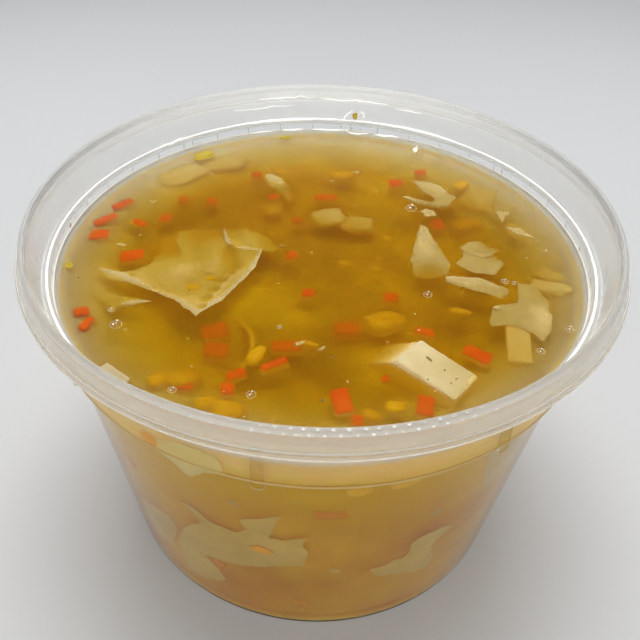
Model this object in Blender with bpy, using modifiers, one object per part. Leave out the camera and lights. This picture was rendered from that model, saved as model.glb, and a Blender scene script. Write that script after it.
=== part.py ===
"""A clear plastic deli tub of vegetable soup: broth up to just under the lid seat, with sheets of
egg, a block of tofu, carrot dice and corn at its surface. Metres, +Z up, standing on z = 0."""

import math

import bmesh
import bpy
from mathutils import Matrix, Vector, geometry

MM = 0.001

# The tub. Its rim is that of the common round deli lid.
RIM_R = 58.5 * MM
TUB_H = 78.3 * MM
WALL = 0.8 * MM
FLOOR = 1.0 * MM
BASE_R = 44.5 * MM  # where the wall's line meets the ground
CORNER_R = 2.4 * MM
STEP_Z = 59.8 * MM  # the stacking step, on which a tub that is put into this one rests
UNDER_STEP_R = 52.1 * MM
BAND_R = 53.5 * MM  # outside of the upright band above the step
LEDGE_Z = 70.2 * MM  # the ledge on which the lid's plug stops
COLLAR_FOOT_R = 54.0 * MM
COLLAR_TOP_R = 56.0 * MM
BEAD_Z = 73.3 * MM  # the bead at the skirt's foot, under which the lid snaps
TURN_STEPS = 80

# The ribs inside the band: every fifth one is wider.
RIBS = 40
WIDE_EVERY = 5
RIB_DEPTH = 0.42 * MM
RIB_WIDTH = 0.5 * MM
WIDE_WIDTH = 1.3 * MM
RIB_FOOT_Z = STEP_Z + 1.2 * MM
RIB_TOP_Z = LEDGE_Z - 0.3 * MM
FIRST_RIB = math.radians(6.4)  # from the back towards +X

# The soup.
SOUP_Z = 67.3 * MM
GAP = 0.3 * MM  # between one piece and the next
POCKET_TOP = SOUP_Z + 4 * MM

TOFU_BEVEL = 0.45 * MM
TOFU_SIZE = Vector((12.0, 7.4, 9.0)) * MM
TOFU_TOP = Vector((21.0, -33.5, 68.4)) * MM
TOFU_TURN = (-3, 6, -40)  # degrees about X, Y and Z
TOFU_LEAN = 4.0 * MM  # how far its foot runs out under the broth
CORNER_TOFU_SIZE = Vector((7.6, 2.4, 8.0)) * MM
CORNER_TOFU_TOP = Vector((-32.9, -35.6, 68.2)) * MM
CORNER_TOFU_TURN = (0, 0, -37)
CORNER_TOFU_REACH = 6.0 * MM  # its pocket is open towards the wall

SHEET_THICK = 0.8 * MM
SHEET_LIFT = 0.15 * MM  # how far a sheet's middle lies above the broth
SHEET_WAVE = 0.18 * MM
WAVE_LENGTH = 11 * MM
SHEET_CELL = 2.6 * MM  # side of a sheet's triangles

# Outlines of the egg sheets as they lie on the broth, in mm: x, y.
SHEETS = {
    "egg_sheet": [
        (-44, -7), (-42, -10.2), (-38.5, -11.2), (-34.5, -12.6), (-30, -15), (-27, -16.5),
        (-22, -21), (-20, -13), (-17, -9), (-13.5, -5), (-11.5, 0.5), (-7, 1.5), (-10.5, 6),
        (-17, 9.5), (-23.5, 10), (-30, 9.5), (-33.5, 6), (-33, 0), (-33.5, -5), (-36.5, -7.5),
        (-40, -7.8),
    ],
    "egg_wing": [(-41.7, -14.6), (-38.7, -19.8), (-35, -18.6), (-31.2, -17.2), (-36, -15.8)],
    "egg_triangle": [(21.5, 11.4), (22.6, 10.8), (26.3, -2.4), (25.6, -5.2), (19, -5.6), (18.6, -1)],
    "egg_leaf": [
        (29.4, 3), (32.7, 5.6), (37.4, -0.8), (34.8, -5.6), (30.3, -4.6), (27.4, -1.6), (29.3, 0.4),
    ],
    "egg_strip": [(24.8, -6.6), (31.6, -6.7), (36.4, -9.6), (36.7, -11), (35, -12.4), (24.8, -8.6)],
    "egg_ragged": [
        (38.9, -8), (42, -7.7), (43.3, -12), (43.4, -18), (42.2, -22.2), (40.3, -24.7),
        (38.5, -22), (35, -20), (31.8, -20.7), (31.7, -18.5), (33.5, -14.6), (37.6, -13.9),
    ],
    "egg_curl": [
        (21.3, 29.4), (27, 28.3), (29, 24.6), (30.4, 22.9), (28.3, 18.8), (24.7, 19.2),
        (21.2, 19.9), (18.2, 22.4), (21.4, 21.5), (25, 21), (25.6, 22.6), (22.6, 26),
    ],
    "egg_oval": [
        (-13.4, 30.4), (-11.7, 31.3), (-9.2, 29.4), (-7.5, 26.6), (-6.4, 21.4), (-8.8, 23.4),
        (-12.9, 27.5),
    ],
}

# Small blocks that break the surface, in mm and degrees: x, y, length, width, turn.
CARROTS = [
    (-37.9, -2.8, 4.8, 3.4, 12), (-46.4, 4.6, 4.4, 3.2, -5), (-44.6, 10.6, 4.8, 1.8, 40),
    (-40.9, 17.2, 5.0, 2.0, 35), (17.3, 28.6, 3.4, 3.0, 0), (23.4, 33.6, 2.8, 2.0, 10),
    (4.4, -40.8, 3.4, 5.6, 14), (-6.9, -32.6, 5.2, 1.6, 30), (28.2, -28.6, 5.0, 2.8, -36),
    (-43.8, -20.4, 2.8, 2.4, 20), (-41.9, -23.6, 1.8, 3.6, -20), (-14.4, -39.0, 2.4, 2.6, 0),
]
EGG_BITS = [
    (-37.3, 17.6, 2.2, 1.0, 0), (-40.9, 0.9, 2.4, 1.0, -10), (23.6, 16.0, 2.8, 3.2, 30),
    (40.0, 16.6, 2.2, 3.0, 20), (41.2, 9.8, 2.2, 3.2, -30), (-3.0, -27.4, 2.2, 0.9, 30),
]
CORN = [
    (-10.4, -30.3, 5.4, 3.2, 62), (-28.4, 38.8, 4.4, 2.6, 20), (32.2, 28.6, 4.6, 3.4, 50),
    (13.2, -41.4, 3.6, 3.2, 0),
]
# Bubbles, in mm: x, y, radius.
BUBBLES = [
    (23.0, 43.6, 1.7), (19.7, 17.0, 1.7), (20.9, -12.8, 1.0), (-10.4, -40.4, 1.0),
    (-36.4, -24.2, 1.3), (45.6, -21.5, 1.0), (-23.5, -40.0, 0.9),
]
CARROT_RISE = 0.4 * MM
EGG_BIT_RISE = 0.3 * MM
BLOCK_DEPTH = 2.4 * MM
CORN_RISE = 0.5 * MM
BUBBLE_RISE = 0.6  # of its radius


def clear_scene():
    for old in list(bpy.data.objects):
        bpy.data.objects.remove(old, do_unlink=True)


def new_collection(name):
    made = bpy.data.collections.new(name)
    bpy.context.scene.collection.children.link(made)
    return made


def new_object(name, bm, collection):
    mesh = bpy.data.meshes.new(name)
    bm.to_mesh(mesh)
    bm.free()
    made = bpy.data.objects.new(name, mesh)
    collection.objects.link(made)
    return made


def paint(obj, colour, roughness, alpha=1.0):
    """Gives the object a material of its own."""
    material = bpy.data.materials.new(obj.name)
    material.use_nodes = True
    shader = material.node_tree.nodes["Principled BSDF"]
    shader.inputs["Base Color"].default_value = (*colour, 1)
    shader.inputs["Roughness"].default_value = roughness
    shader.inputs["Metallic"].default_value = 0
    shader.inputs["Alpha"].default_value = alpha
    obj.data.materials.clear()
    obj.data.materials.append(material)


def bake(obj):
    """Puts the shape that the modifiers give into the object's own mesh."""
    bpy.context.view_layer.update()
    graph = bpy.context.evaluated_depsgraph_get()
    mesh = bpy.data.meshes.new_from_object(obj.evaluated_get(graph))
    obj.modifiers.clear()
    obj.data = mesh


def combine(target, collection, operation):
    """Joins a collection's pieces to the target, or cuts them from it, and removes them."""
    for piece in collection.objects:
        piece.hide_render = True
        piece.display_type = "WIRE"
    boolean = target.modifiers.new(operation.lower(), "BOOLEAN")
    boolean.operation = operation
    boolean.operand_type = "COLLECTION"
    boolean.collection = collection
    boolean.solver = "EXACT"
    bake(target)
    for piece in list(collection.objects):
        bpy.data.objects.remove(piece, do_unlink=True)


def turned(name, profile, collection):
    """A body of revolution. The profile holds (radius, height) and runs down its outer side."""
    bm = bmesh.new()
    corners = [bm.verts.new((r, 0, z)) for r, z in profile]
    for upper, lower in zip(corners, corners[1:]):
        bm.edges.new((upper, lower))
    body = new_object(name, bm, collection)
    screw = body.modifiers.new("turn", "SCREW")
    screw.steps = screw.render_steps = TURN_STEPS
    screw.use_merge_vertices = True
    screw.merge_threshold = 0.00001
    screw.use_smooth_shade = False
    return body


def rounded(before, corner, after, radius, segments=3):
    """Points of the arc that rounds one corner of a profile."""
    corner = Vector(corner)
    to_before = (Vector(before) - corner).normalized()
    to_after = (Vector(after) - corner).normalized()
    half = to_before.angle(to_after) / 2
    centre = corner + (to_before + to_after).normalized() * radius / math.sin(half)
    start = corner + to_before * radius / math.tan(half) - centre
    end = corner + to_after * radius / math.tan(half) - centre
    sweep = start.angle_signed(end)
    return [
        tuple(centre + Matrix.Rotation(-sweep * i / segments, 2) @ start)
        for i in range(segments + 1)
    ]


def wall_r(z):
    """Outer radius of the tapered wall below the stacking step."""
    return BASE_R + (UNDER_STEP_R - BASE_R) * z / STEP_Z


def tub_inside():
    """The inner surface, from the middle of the floor up to the top of the collar."""
    band = BAND_R - WALL
    shoulder = (wall_r(STEP_Z) - WALL, STEP_Z - 0.6 * MM)
    corner = (wall_r(FLOOR) - WALL, FLOOR)
    return [
        (0, FLOOR),
        *rounded((0, FLOOR), corner, shoulder, CORNER_R),
        shoulder,
        (band - 0.1 * MM, STEP_Z + 0.5 * MM),
        (band, LEDGE_Z - 0.1 * MM),
        (COLLAR_FOOT_R, LEDGE_Z + 0.1 * MM),
        (COLLAR_TOP_R, TUB_H - 0.6 * MM),
        (COLLAR_TOP_R + 0.4 * MM, TUB_H),
    ]


def tub_outside():
    """The outer surface, from the top of the rim down to the middle of the underside."""
    return [
        (COLLAR_TOP_R + 0.9 * MM, TUB_H - 0.15 * MM),
        (COLLAR_TOP_R + 1.1 * MM, TUB_H - 0.5 * MM),
        (RIM_R - 0.5 * MM, BEAD_Z + 0.8 * MM),
        (RIM_R - 0.05 * MM, BEAD_Z + 0.4 * MM),
        (RIM_R, BEAD_Z),
        (RIM_R - 0.2 * MM, BEAD_Z - 0.3 * MM),
        (RIM_R - 0.9 * MM, BEAD_Z - 0.2 * MM),
        (COLLAR_TOP_R + 0.8 * MM, TUB_H - 2.1 * MM),
        (COLLAR_TOP_R + 0.3 * MM, TUB_H - 1.6 * MM),
        (COLLAR_FOOT_R + 0.9 * MM, LEDGE_Z + 0.3 * MM),
        (COLLAR_FOOT_R, LEDGE_Z - 0.8 * MM),
        (BAND_R + 0.2 * MM, LEDGE_Z - 1.3 * MM),
        (BAND_R + 0.2 * MM, LEDGE_Z - 5.3 * MM),
        (BAND_R, LEDGE_Z - 5.6 * MM),
        (BAND_R - 0.1 * MM, STEP_Z + 0.5 * MM),
        (UNDER_STEP_R, STEP_Z),
        *rounded((UNDER_STEP_R, STEP_Z), (BASE_R, 0), (0, 0), CORNER_R),
        (0, 0),
    ]


def rib_directions():
    """The angle of every rib, from the back towards +X, with whether it is a wide one."""
    for index in range(RIBS):
        yield FIRST_RIB + math.tau * index / RIBS, index % WIDE_EVERY == 0


def make_container(collection):
    container = turned("container", tub_inside() + tub_outside(), collection)
    bm = bmesh.new()
    inner = BAND_R - WALL - RIB_DEPTH
    outer = BAND_R - WALL / 2
    for angle, wide in rib_directions():
        width = WIDE_WIDTH if wide else RIB_WIDTH
        place = (
            Matrix.Rotation(-angle, 4, "Z")
            @ Matrix.Translation((0, (inner + outer) / 2, (RIB_FOOT_Z + RIB_TOP_Z) / 2))
            @ Matrix.Diagonal((width, outer - inner, RIB_TOP_Z - RIB_FOOT_Z, 1))
        )
        bmesh.ops.create_cube(bm, size=1, matrix=place)
    ribs = new_collection("ribs")
    new_object("rib_bars", bm, ribs)
    combine(container, ribs, "UNION")
    paint(container, (0.86, 0.86, 0.84), 0.35, alpha=0.55)


def broth_profile():
    """The broth from its surface down the wall to the floor, clear of the tub."""
    band = BAND_R - WALL - RIB_DEPTH - GAP
    shoulder = (wall_r(STEP_Z) - WALL - GAP, STEP_Z - 0.8 * MM)
    bottom = FLOOR + GAP
    corner = (wall_r(bottom) - WALL - GAP, bottom)
    return [
        (0, SOUP_Z),
        (band, SOUP_Z),
        (band, STEP_Z + 1.0 * MM),
        shoulder,
        *rounded(shoulder, corner, (0, bottom), CORNER_R),
        (0, bottom),
    ]


def placed(top, turn):
    """The place of a piece from the middle of its top and its turn in degrees about X, Y and Z."""
    about_x, about_y, about_z = (math.radians(angle) for angle in turn)
    return (
        Matrix.Translation(top)
        @ Matrix.Rotation(about_z, 4, "Z")
        @ Matrix.Rotation(about_y, 4, "Y")
        @ Matrix.Rotation(about_x, 4, "X")
    )


def add_block(name, size, place, collection, lean=0.0):
    """A block hung from the middle of its top. Its foot can lean back along its length."""
    bm = bmesh.new()
    bmesh.ops.create_cube(bm, size=1)
    bmesh.ops.scale(bm, vec=size, verts=bm.verts)
    bmesh.ops.translate(bm, vec=(0, 0, -size[2] / 2), verts=bm.verts)
    for corner in bm.verts:
        if corner.co.z < -size[2] / 2:
            corner.co.x -= lean
    block = new_object(name, bm, collection)
    block.matrix_world = place
    return block


def add_pebble(name, x, y, length, width, rise, turn, collection):
    """A rounded piece that lies half in the broth."""
    bm = bmesh.new()
    bmesh.ops.create_uvsphere(bm, u_segments=8, v_segments=6, radius=1)
    pebble = new_object(name, bm, collection)
    pebble.matrix_world = placed((x, y, SOUP_Z - GAP / 10), (0, 0, turn)) @ Matrix.Diagonal(
        (length / 2, width / 2, rise, 1)
    )


def add_small_pieces(collection):
    """Carrot, corn, bits of egg and bubbles at the surface."""
    blocks = [("carrot", CARROTS, CARROT_RISE), ("egg_bit", EGG_BITS, EGG_BIT_RISE)]
    for kind, rows, rise in blocks:
        for index, (x, y, length, width, turn) in enumerate(rows):
            size = (length * MM, width * MM, BLOCK_DEPTH)
            place = placed((x * MM, y * MM, SOUP_Z + rise), (0, 0, turn))
            add_block(f"{kind}_{index}", size, place, collection)
    for index, (x, y, length, width, turn) in enumerate(CORN):
        name = f"corn_{index}"
        add_pebble(name, x * MM, y * MM, length * MM, width * MM, CORN_RISE, turn, collection)
    for index, (x, y, radius) in enumerate(BUBBLES):
        name, width = f"bubble_{index}", 2 * radius * MM
        add_pebble(name, x * MM, y * MM, width, width, radius * BUBBLE_RISE * MM, 0, collection)


def outline_of(points):
    """The outline in metres, counter-clockwise."""
    outline = [Vector(point) * MM for point in points]
    area = sum(a.cross(b) for a, b in zip(outline, outline[1:] + outline[:1]))
    return outline if area > 0 else outline[::-1]


def grown(outline, reach, sharpest=0.45):
    """The outline moved outwards. Sharp tips move no further than reach / sharpest."""
    moved = []
    for index, point in enumerate(outline):
        before = (point - outline[index - 1]).normalized()
        after = (outline[(index + 1) % len(outline)] - point).normalized()
        side = Vector((before.y + after.y, -before.x - after.x)).normalized()
        stretch = max(abs(side.dot(Vector((after.y, -after.x)))), sharpest)
        moved.append(point + side * reach / stretch)
    return moved


def far_inside(spot, outline):
    """Whether a spot lies inside the outline and not close to its edge."""
    crossings = 0
    for a, b in zip(outline, outline[1:] + outline[:1]):
        share = geometry.intersect_point_line(spot, a, b)[1]
        nearest = a.lerp(b, min(max(share, 0), 1))
        if (spot - nearest).length < SHEET_CELL * 0.45:
            return False
        if (a.y > spot.y) != (b.y > spot.y):
            crossings += spot.x < a.x + (b.x - a.x) * (spot.y - a.y) / (b.y - a.y)
    return crossings % 2 == 1


def sheet_surface(outline, height):
    """An open surface over the outline, in even triangles, at the height of each of its points."""
    low = Vector((min(p.x for p in outline), min(p.y for p in outline)))
    high = Vector((max(p.x for p in outline), max(p.y for p in outline)))
    row_step = SHEET_CELL * math.sin(math.radians(60))
    points = [Vector(point) for point in outline]
    for row in range(int((high.y - low.y) / row_step) + 1):
        for column in range(int((high.x - low.x) / SHEET_CELL) + 2):
            across = (column + 0.5 * (row % 2)) * SHEET_CELL
            spot = low + Vector((across, (row + 0.5) * row_step))
            if far_inside(spot, outline):
                points.append(spot)
    rim = list(range(len(outline)))
    edges = list(zip(rim, rim[1:] + rim[:1]))
    made = geometry.delaunay_2d_cdt(points, edges, [rim], 1, 1e-7)
    bm = bmesh.new()
    corners = [bm.verts.new((point.x, point.y, height(point))) for point in made[0]]
    for face in made[2]:
        bm.faces.new([corners[i] for i in face])
    bmesh.ops.recalc_face_normals(bm, faces=bm.faces)
    if sum(face.normal.z for face in bm.faces) < 0:
        bmesh.ops.reverse_faces(bm, faces=bm.faces)
    return bm


def sheet_height(point):
    """The middle of an egg sheet's thickness: it lies at the surface in soft waves."""
    across = math.sin(math.tau * (point.x + 0.4 * point.y) / WAVE_LENGTH)
    along = math.sin(math.tau * (point.y - 0.3 * point.x) / (1.4 * WAVE_LENGTH) + 1.1)
    return SOUP_Z + SHEET_LIFT + SHEET_WAVE * (across + along) / 2


def pocket_floor(point):
    return sheet_height(point) - SHEET_THICK / 2 - GAP


def make_sheet(name, points, collection):
    """A thin wavy sheet of egg that floats at the surface."""
    sheet = new_object(name, sheet_surface(outline_of(points), sheet_height), collection)
    shell = sheet.modifiers.new("thickness", "SOLIDIFY")
    shell.thickness = SHEET_THICK
    shell.offset = 0
    bake(sheet)
    paint(sheet, (0.62, 0.50, 0.22), 0.4)


def add_sheet_pocket(name, points, collection):
    """The room that a sheet takes in the broth, open upwards."""
    bm = sheet_surface(grown(outline_of(points), GAP), pocket_floor)
    raised = bmesh.ops.extrude_face_region(bm, geom=bm.faces[:])
    for item in raised["geom"]:
        if isinstance(item, bmesh.types.BMVert):
            item.co.z = POCKET_TOP
    bmesh.ops.recalc_face_normals(bm, faces=bm.faces)
    new_object(name, bm, collection)


def make_tofu(name, size, top, turn, collection, lean=0.0):
    block = add_block(name, size, placed(top, turn), collection, lean)
    bevel = block.modifiers.new("edges", "BEVEL")
    bevel.width = TOFU_BEVEL
    bevel.segments = 2
    bake(block)
    paint(block, (0.86, 0.78, 0.58), 0.5)


def add_tofu_pockets(collection):
    """The room round both pieces of tofu."""
    around = Vector((GAP, GAP, GAP)) * 2
    lift = Vector((0, 0, GAP))
    place = placed(TOFU_TOP + lift, TOFU_TURN)
    add_block("tofu_pocket", TOFU_SIZE + around, place, collection, TOFU_LEAN)
    outwards = Vector((0, CORNER_TOFU_REACH, 0))
    place = placed(CORNER_TOFU_TOP + lift, CORNER_TOFU_TURN) @ Matrix.Translation(-outwards / 2)
    add_block("corner_pocket", CORNER_TOFU_SIZE + around + outwards, place, collection)


def make_broth(collection):
    broth = turned("broth", broth_profile(), collection)
    bake(broth)
    small_pieces = new_collection("small_pieces")
    add_small_pieces(small_pieces)
    combine(broth, small_pieces, "UNION")
    pockets = new_collection("pockets")
    for name, points in SHEETS.items():
        add_sheet_pocket(name + "_pocket", points, pockets)
    add_tofu_pockets(pockets)
    combine(broth, pockets, "DIFFERENCE")
    paint(broth, (0.62, 0.36, 0.05), 0.1)


def main():
    clear_scene()
    tub_of_soup = new_collection("tub_of_vegetable_soup")
    make_container(tub_of_soup)
    make_broth(tub_of_soup)
    make_tofu("tofu_block", TOFU_SIZE, TOFU_TOP, TOFU_TURN, tub_of_soup, TOFU_LEAN)
    make_tofu(
        "tofu_corner", CORNER_TOFU_SIZE, CORNER_TOFU_TOP, CORNER_TOFU_TURN, tub_of_soup
    )
    for name, points in SHEETS.items():
        make_sheet(name, points, tub_of_soup)


main()
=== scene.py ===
"""A translucent deli tub of vegetable soup, seen from above its front: clear golden broth with egg
sheets, tofu, carrot dice and corn at its surface and sunk in it. Metres, +Z up."""

import math
import random

import bmesh
import bpy
from mathutils import Matrix, Vector, geometry, noise


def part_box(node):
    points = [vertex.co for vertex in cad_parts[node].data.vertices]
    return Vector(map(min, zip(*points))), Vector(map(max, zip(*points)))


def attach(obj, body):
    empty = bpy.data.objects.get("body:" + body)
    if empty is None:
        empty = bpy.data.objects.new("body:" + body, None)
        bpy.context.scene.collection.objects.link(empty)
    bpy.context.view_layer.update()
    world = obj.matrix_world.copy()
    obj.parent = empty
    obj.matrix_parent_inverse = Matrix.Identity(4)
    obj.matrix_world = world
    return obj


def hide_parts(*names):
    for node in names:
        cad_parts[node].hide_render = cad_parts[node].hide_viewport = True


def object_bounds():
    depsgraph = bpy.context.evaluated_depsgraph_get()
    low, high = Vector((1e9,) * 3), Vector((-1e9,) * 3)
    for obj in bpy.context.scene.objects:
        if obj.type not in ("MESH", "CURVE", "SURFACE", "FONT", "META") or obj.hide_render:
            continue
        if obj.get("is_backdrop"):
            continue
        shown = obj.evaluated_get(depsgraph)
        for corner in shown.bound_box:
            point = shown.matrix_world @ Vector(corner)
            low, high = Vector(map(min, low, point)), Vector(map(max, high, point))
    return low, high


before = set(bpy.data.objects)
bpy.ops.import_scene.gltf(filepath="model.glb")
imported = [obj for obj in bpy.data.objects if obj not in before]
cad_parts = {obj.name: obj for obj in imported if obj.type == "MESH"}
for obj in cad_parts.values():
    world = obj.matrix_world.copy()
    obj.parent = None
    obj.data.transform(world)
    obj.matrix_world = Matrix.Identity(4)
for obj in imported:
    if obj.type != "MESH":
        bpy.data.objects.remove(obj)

CAD_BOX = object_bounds()
MM = 0.001
DICE = random.Random(7)

# The tub, as its solid has it.
TUB_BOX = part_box("container")
RIM_R = TUB_BOX[1].x
TUB_H = TUB_BOX[1].z
WALL = 0.8 * MM
FLOOR = 1.0 * MM
BASE_R = 44.5 * MM
CORNER_R = 2.4 * MM
STEP_Z = 59.8 * MM
UNDER_STEP_R = 52.1 * MM
BAND_R = 53.5 * MM
LEDGE_Z = 70.2 * MM
COLLAR_FOOT_R = 54.0 * MM
COLLAR_TOP_R = 56.0 * MM
BEAD_Z = 73.3 * MM
RIBS = 40
WIDE_EVERY = 5
RIB_DEPTH = 0.30 * MM
RIB_WIDTH = 0.5 * MM
WIDE_WIDTH = 1.3 * MM
RIB_FOOT_Z = STEP_Z + 1.2 * MM
RIB_TOP_Z = LEDGE_Z - 0.3 * MM
FIRST_RIB = math.radians(6.4)

# The soup.
SOUP_Z = 67.3 * MM
BROTH_IOR = 1.33

# The camera.
CAMERA_AT = Vector((0.0, -127.2, 159.2)) * MM
CAMERA_AIM = Vector((-6.2, 0.0, 51.05)) * MM
LENS = 43.15
SENSOR = 36.0
SHIFT_X, SHIFT_Y = 0.0491, -0.0122


# ---------------------------------------------------------------- camera and light


def make_camera():
    data = bpy.data.cameras.new("camera")
    data.sensor_width = SENSOR
    data.lens = LENS
    data.shift_x, data.shift_y = SHIFT_X, SHIFT_Y
    data.clip_start = 0.001
    camera = bpy.data.objects.new("camera", data)
    camera.location = CAMERA_AT
    camera.rotation_mode = "QUATERNION"
    camera.rotation_quaternion = (CAMERA_AIM - CAMERA_AT).to_track_quat("-Z", "Y")
    bpy.context.scene.collection.objects.link(camera)
    bpy.context.scene.camera = camera


SOUP = bpy.data.collections.new("soup")
GROUND = bpy.data.collections.new("ground")
PLASTIC = bpy.data.collections.new("plastic")


def make_light(name, place, aim, size, power, only=None):
    data = bpy.data.lights.new(name, "AREA")
    data.shape = "RECTANGLE"
    data.size, data.size_y = size
    data.energy = power
    light = bpy.data.objects.new(name, data)
    if only:
        light.light_linking.receiver_collection = only
    light.location = place
    light.rotation_mode = "QUATERNION"
    light.rotation_quaternion = (Vector(aim) - Vector(place)).to_track_quat("-Z", "Y")
    bpy.context.scene.collection.objects.link(light)


def make_world():
    world = bpy.data.worlds.new("studio")
    world.use_nodes = True
    tree = world.node_tree
    background = tree.nodes["Background"]
    up = tree.nodes.new("ShaderNodeSeparateXYZ")
    ramp = tree.nodes.new("ShaderNodeValToRGB")
    tree.links.new(tree.nodes.new("ShaderNodeTexCoord").outputs["Generated"], up.inputs[0])
    tree.links.new(up.outputs["Z"], ramp.inputs["Fac"])
    tree.links.new(ramp.outputs["Color"], background.inputs["Color"])
    steps = [(0.0, 0.56), (0.30, 0.48), (0.46, 0.10), (0.78, 0.08), (1.0, 0.40)]
    for index, (place, light) in enumerate(steps):
        spots = ramp.color_ramp.elements
        spot = spots[index] if index < 2 else spots.new(place)
        spot.position = place
        spot.color = (light * 0.96, light * 0.985, light, 1)
    background.inputs["Strength"].default_value = 1.0
    bpy.context.scene.world = world
    bpy.context.scene.view_settings.view_transform = "Standard"


def make_studio():
    make_world()
    make_light("key", (-0.01, 0.13, 0.58), (-0.01, 0.08, 0.0), (0.34, 0.34), 1.84)
    make_light("fill", (0.0, -0.7, 0.5), (0, 0, 0.04), (0.8, 0.5), 1.3)
    make_light("rim", (0, 0.6, 0.4), (0, 0.05, 0.07), (0.7, 0.3), 1.8, only=PLASTIC)
    for side in (-1, 1):
        at, aim = (side * 0.2, 0.2, 0.2), (side * 0.16, 0.17, 0)
        make_light(f"pool_{side}", at, aim, (0.2, 0.2), 0.07, only=GROUND)
    make_light("pool_front", (0, -0.3, 0.2), (0, -0.06, 0), (0.12, 0.08), 0.13, only=GROUND)
    for index in range(4):
        turn = math.tau * index / 4
        place = (0.5 * math.sin(turn), -0.5 * math.cos(turn), 0.10)
        make_light(f"glow_{index}", place, (0, 0, 0.03), (0.4, 0.2), 1.05, only=SOUP)


# ---------------------------------------------------------------- materials


# Painted light: glow colours standing in for the light that the haze sends back, from above, close to the
# wall, and through the wall.
GLOW_ABOVE = (0.44, 0.215, 0.001)
GLOW_RIM = (0.46, 0.30, 0.09)
GLOW_ASIDE = (0.35, 0.19, 0.01)
# What is left of a piece's own colour deep in the haze.
LOST = (0.06, 0.03, 0.0)
# How much of a lamp's light the plastic and most pieces let through.
LET_THROUGH = 0.85


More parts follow.
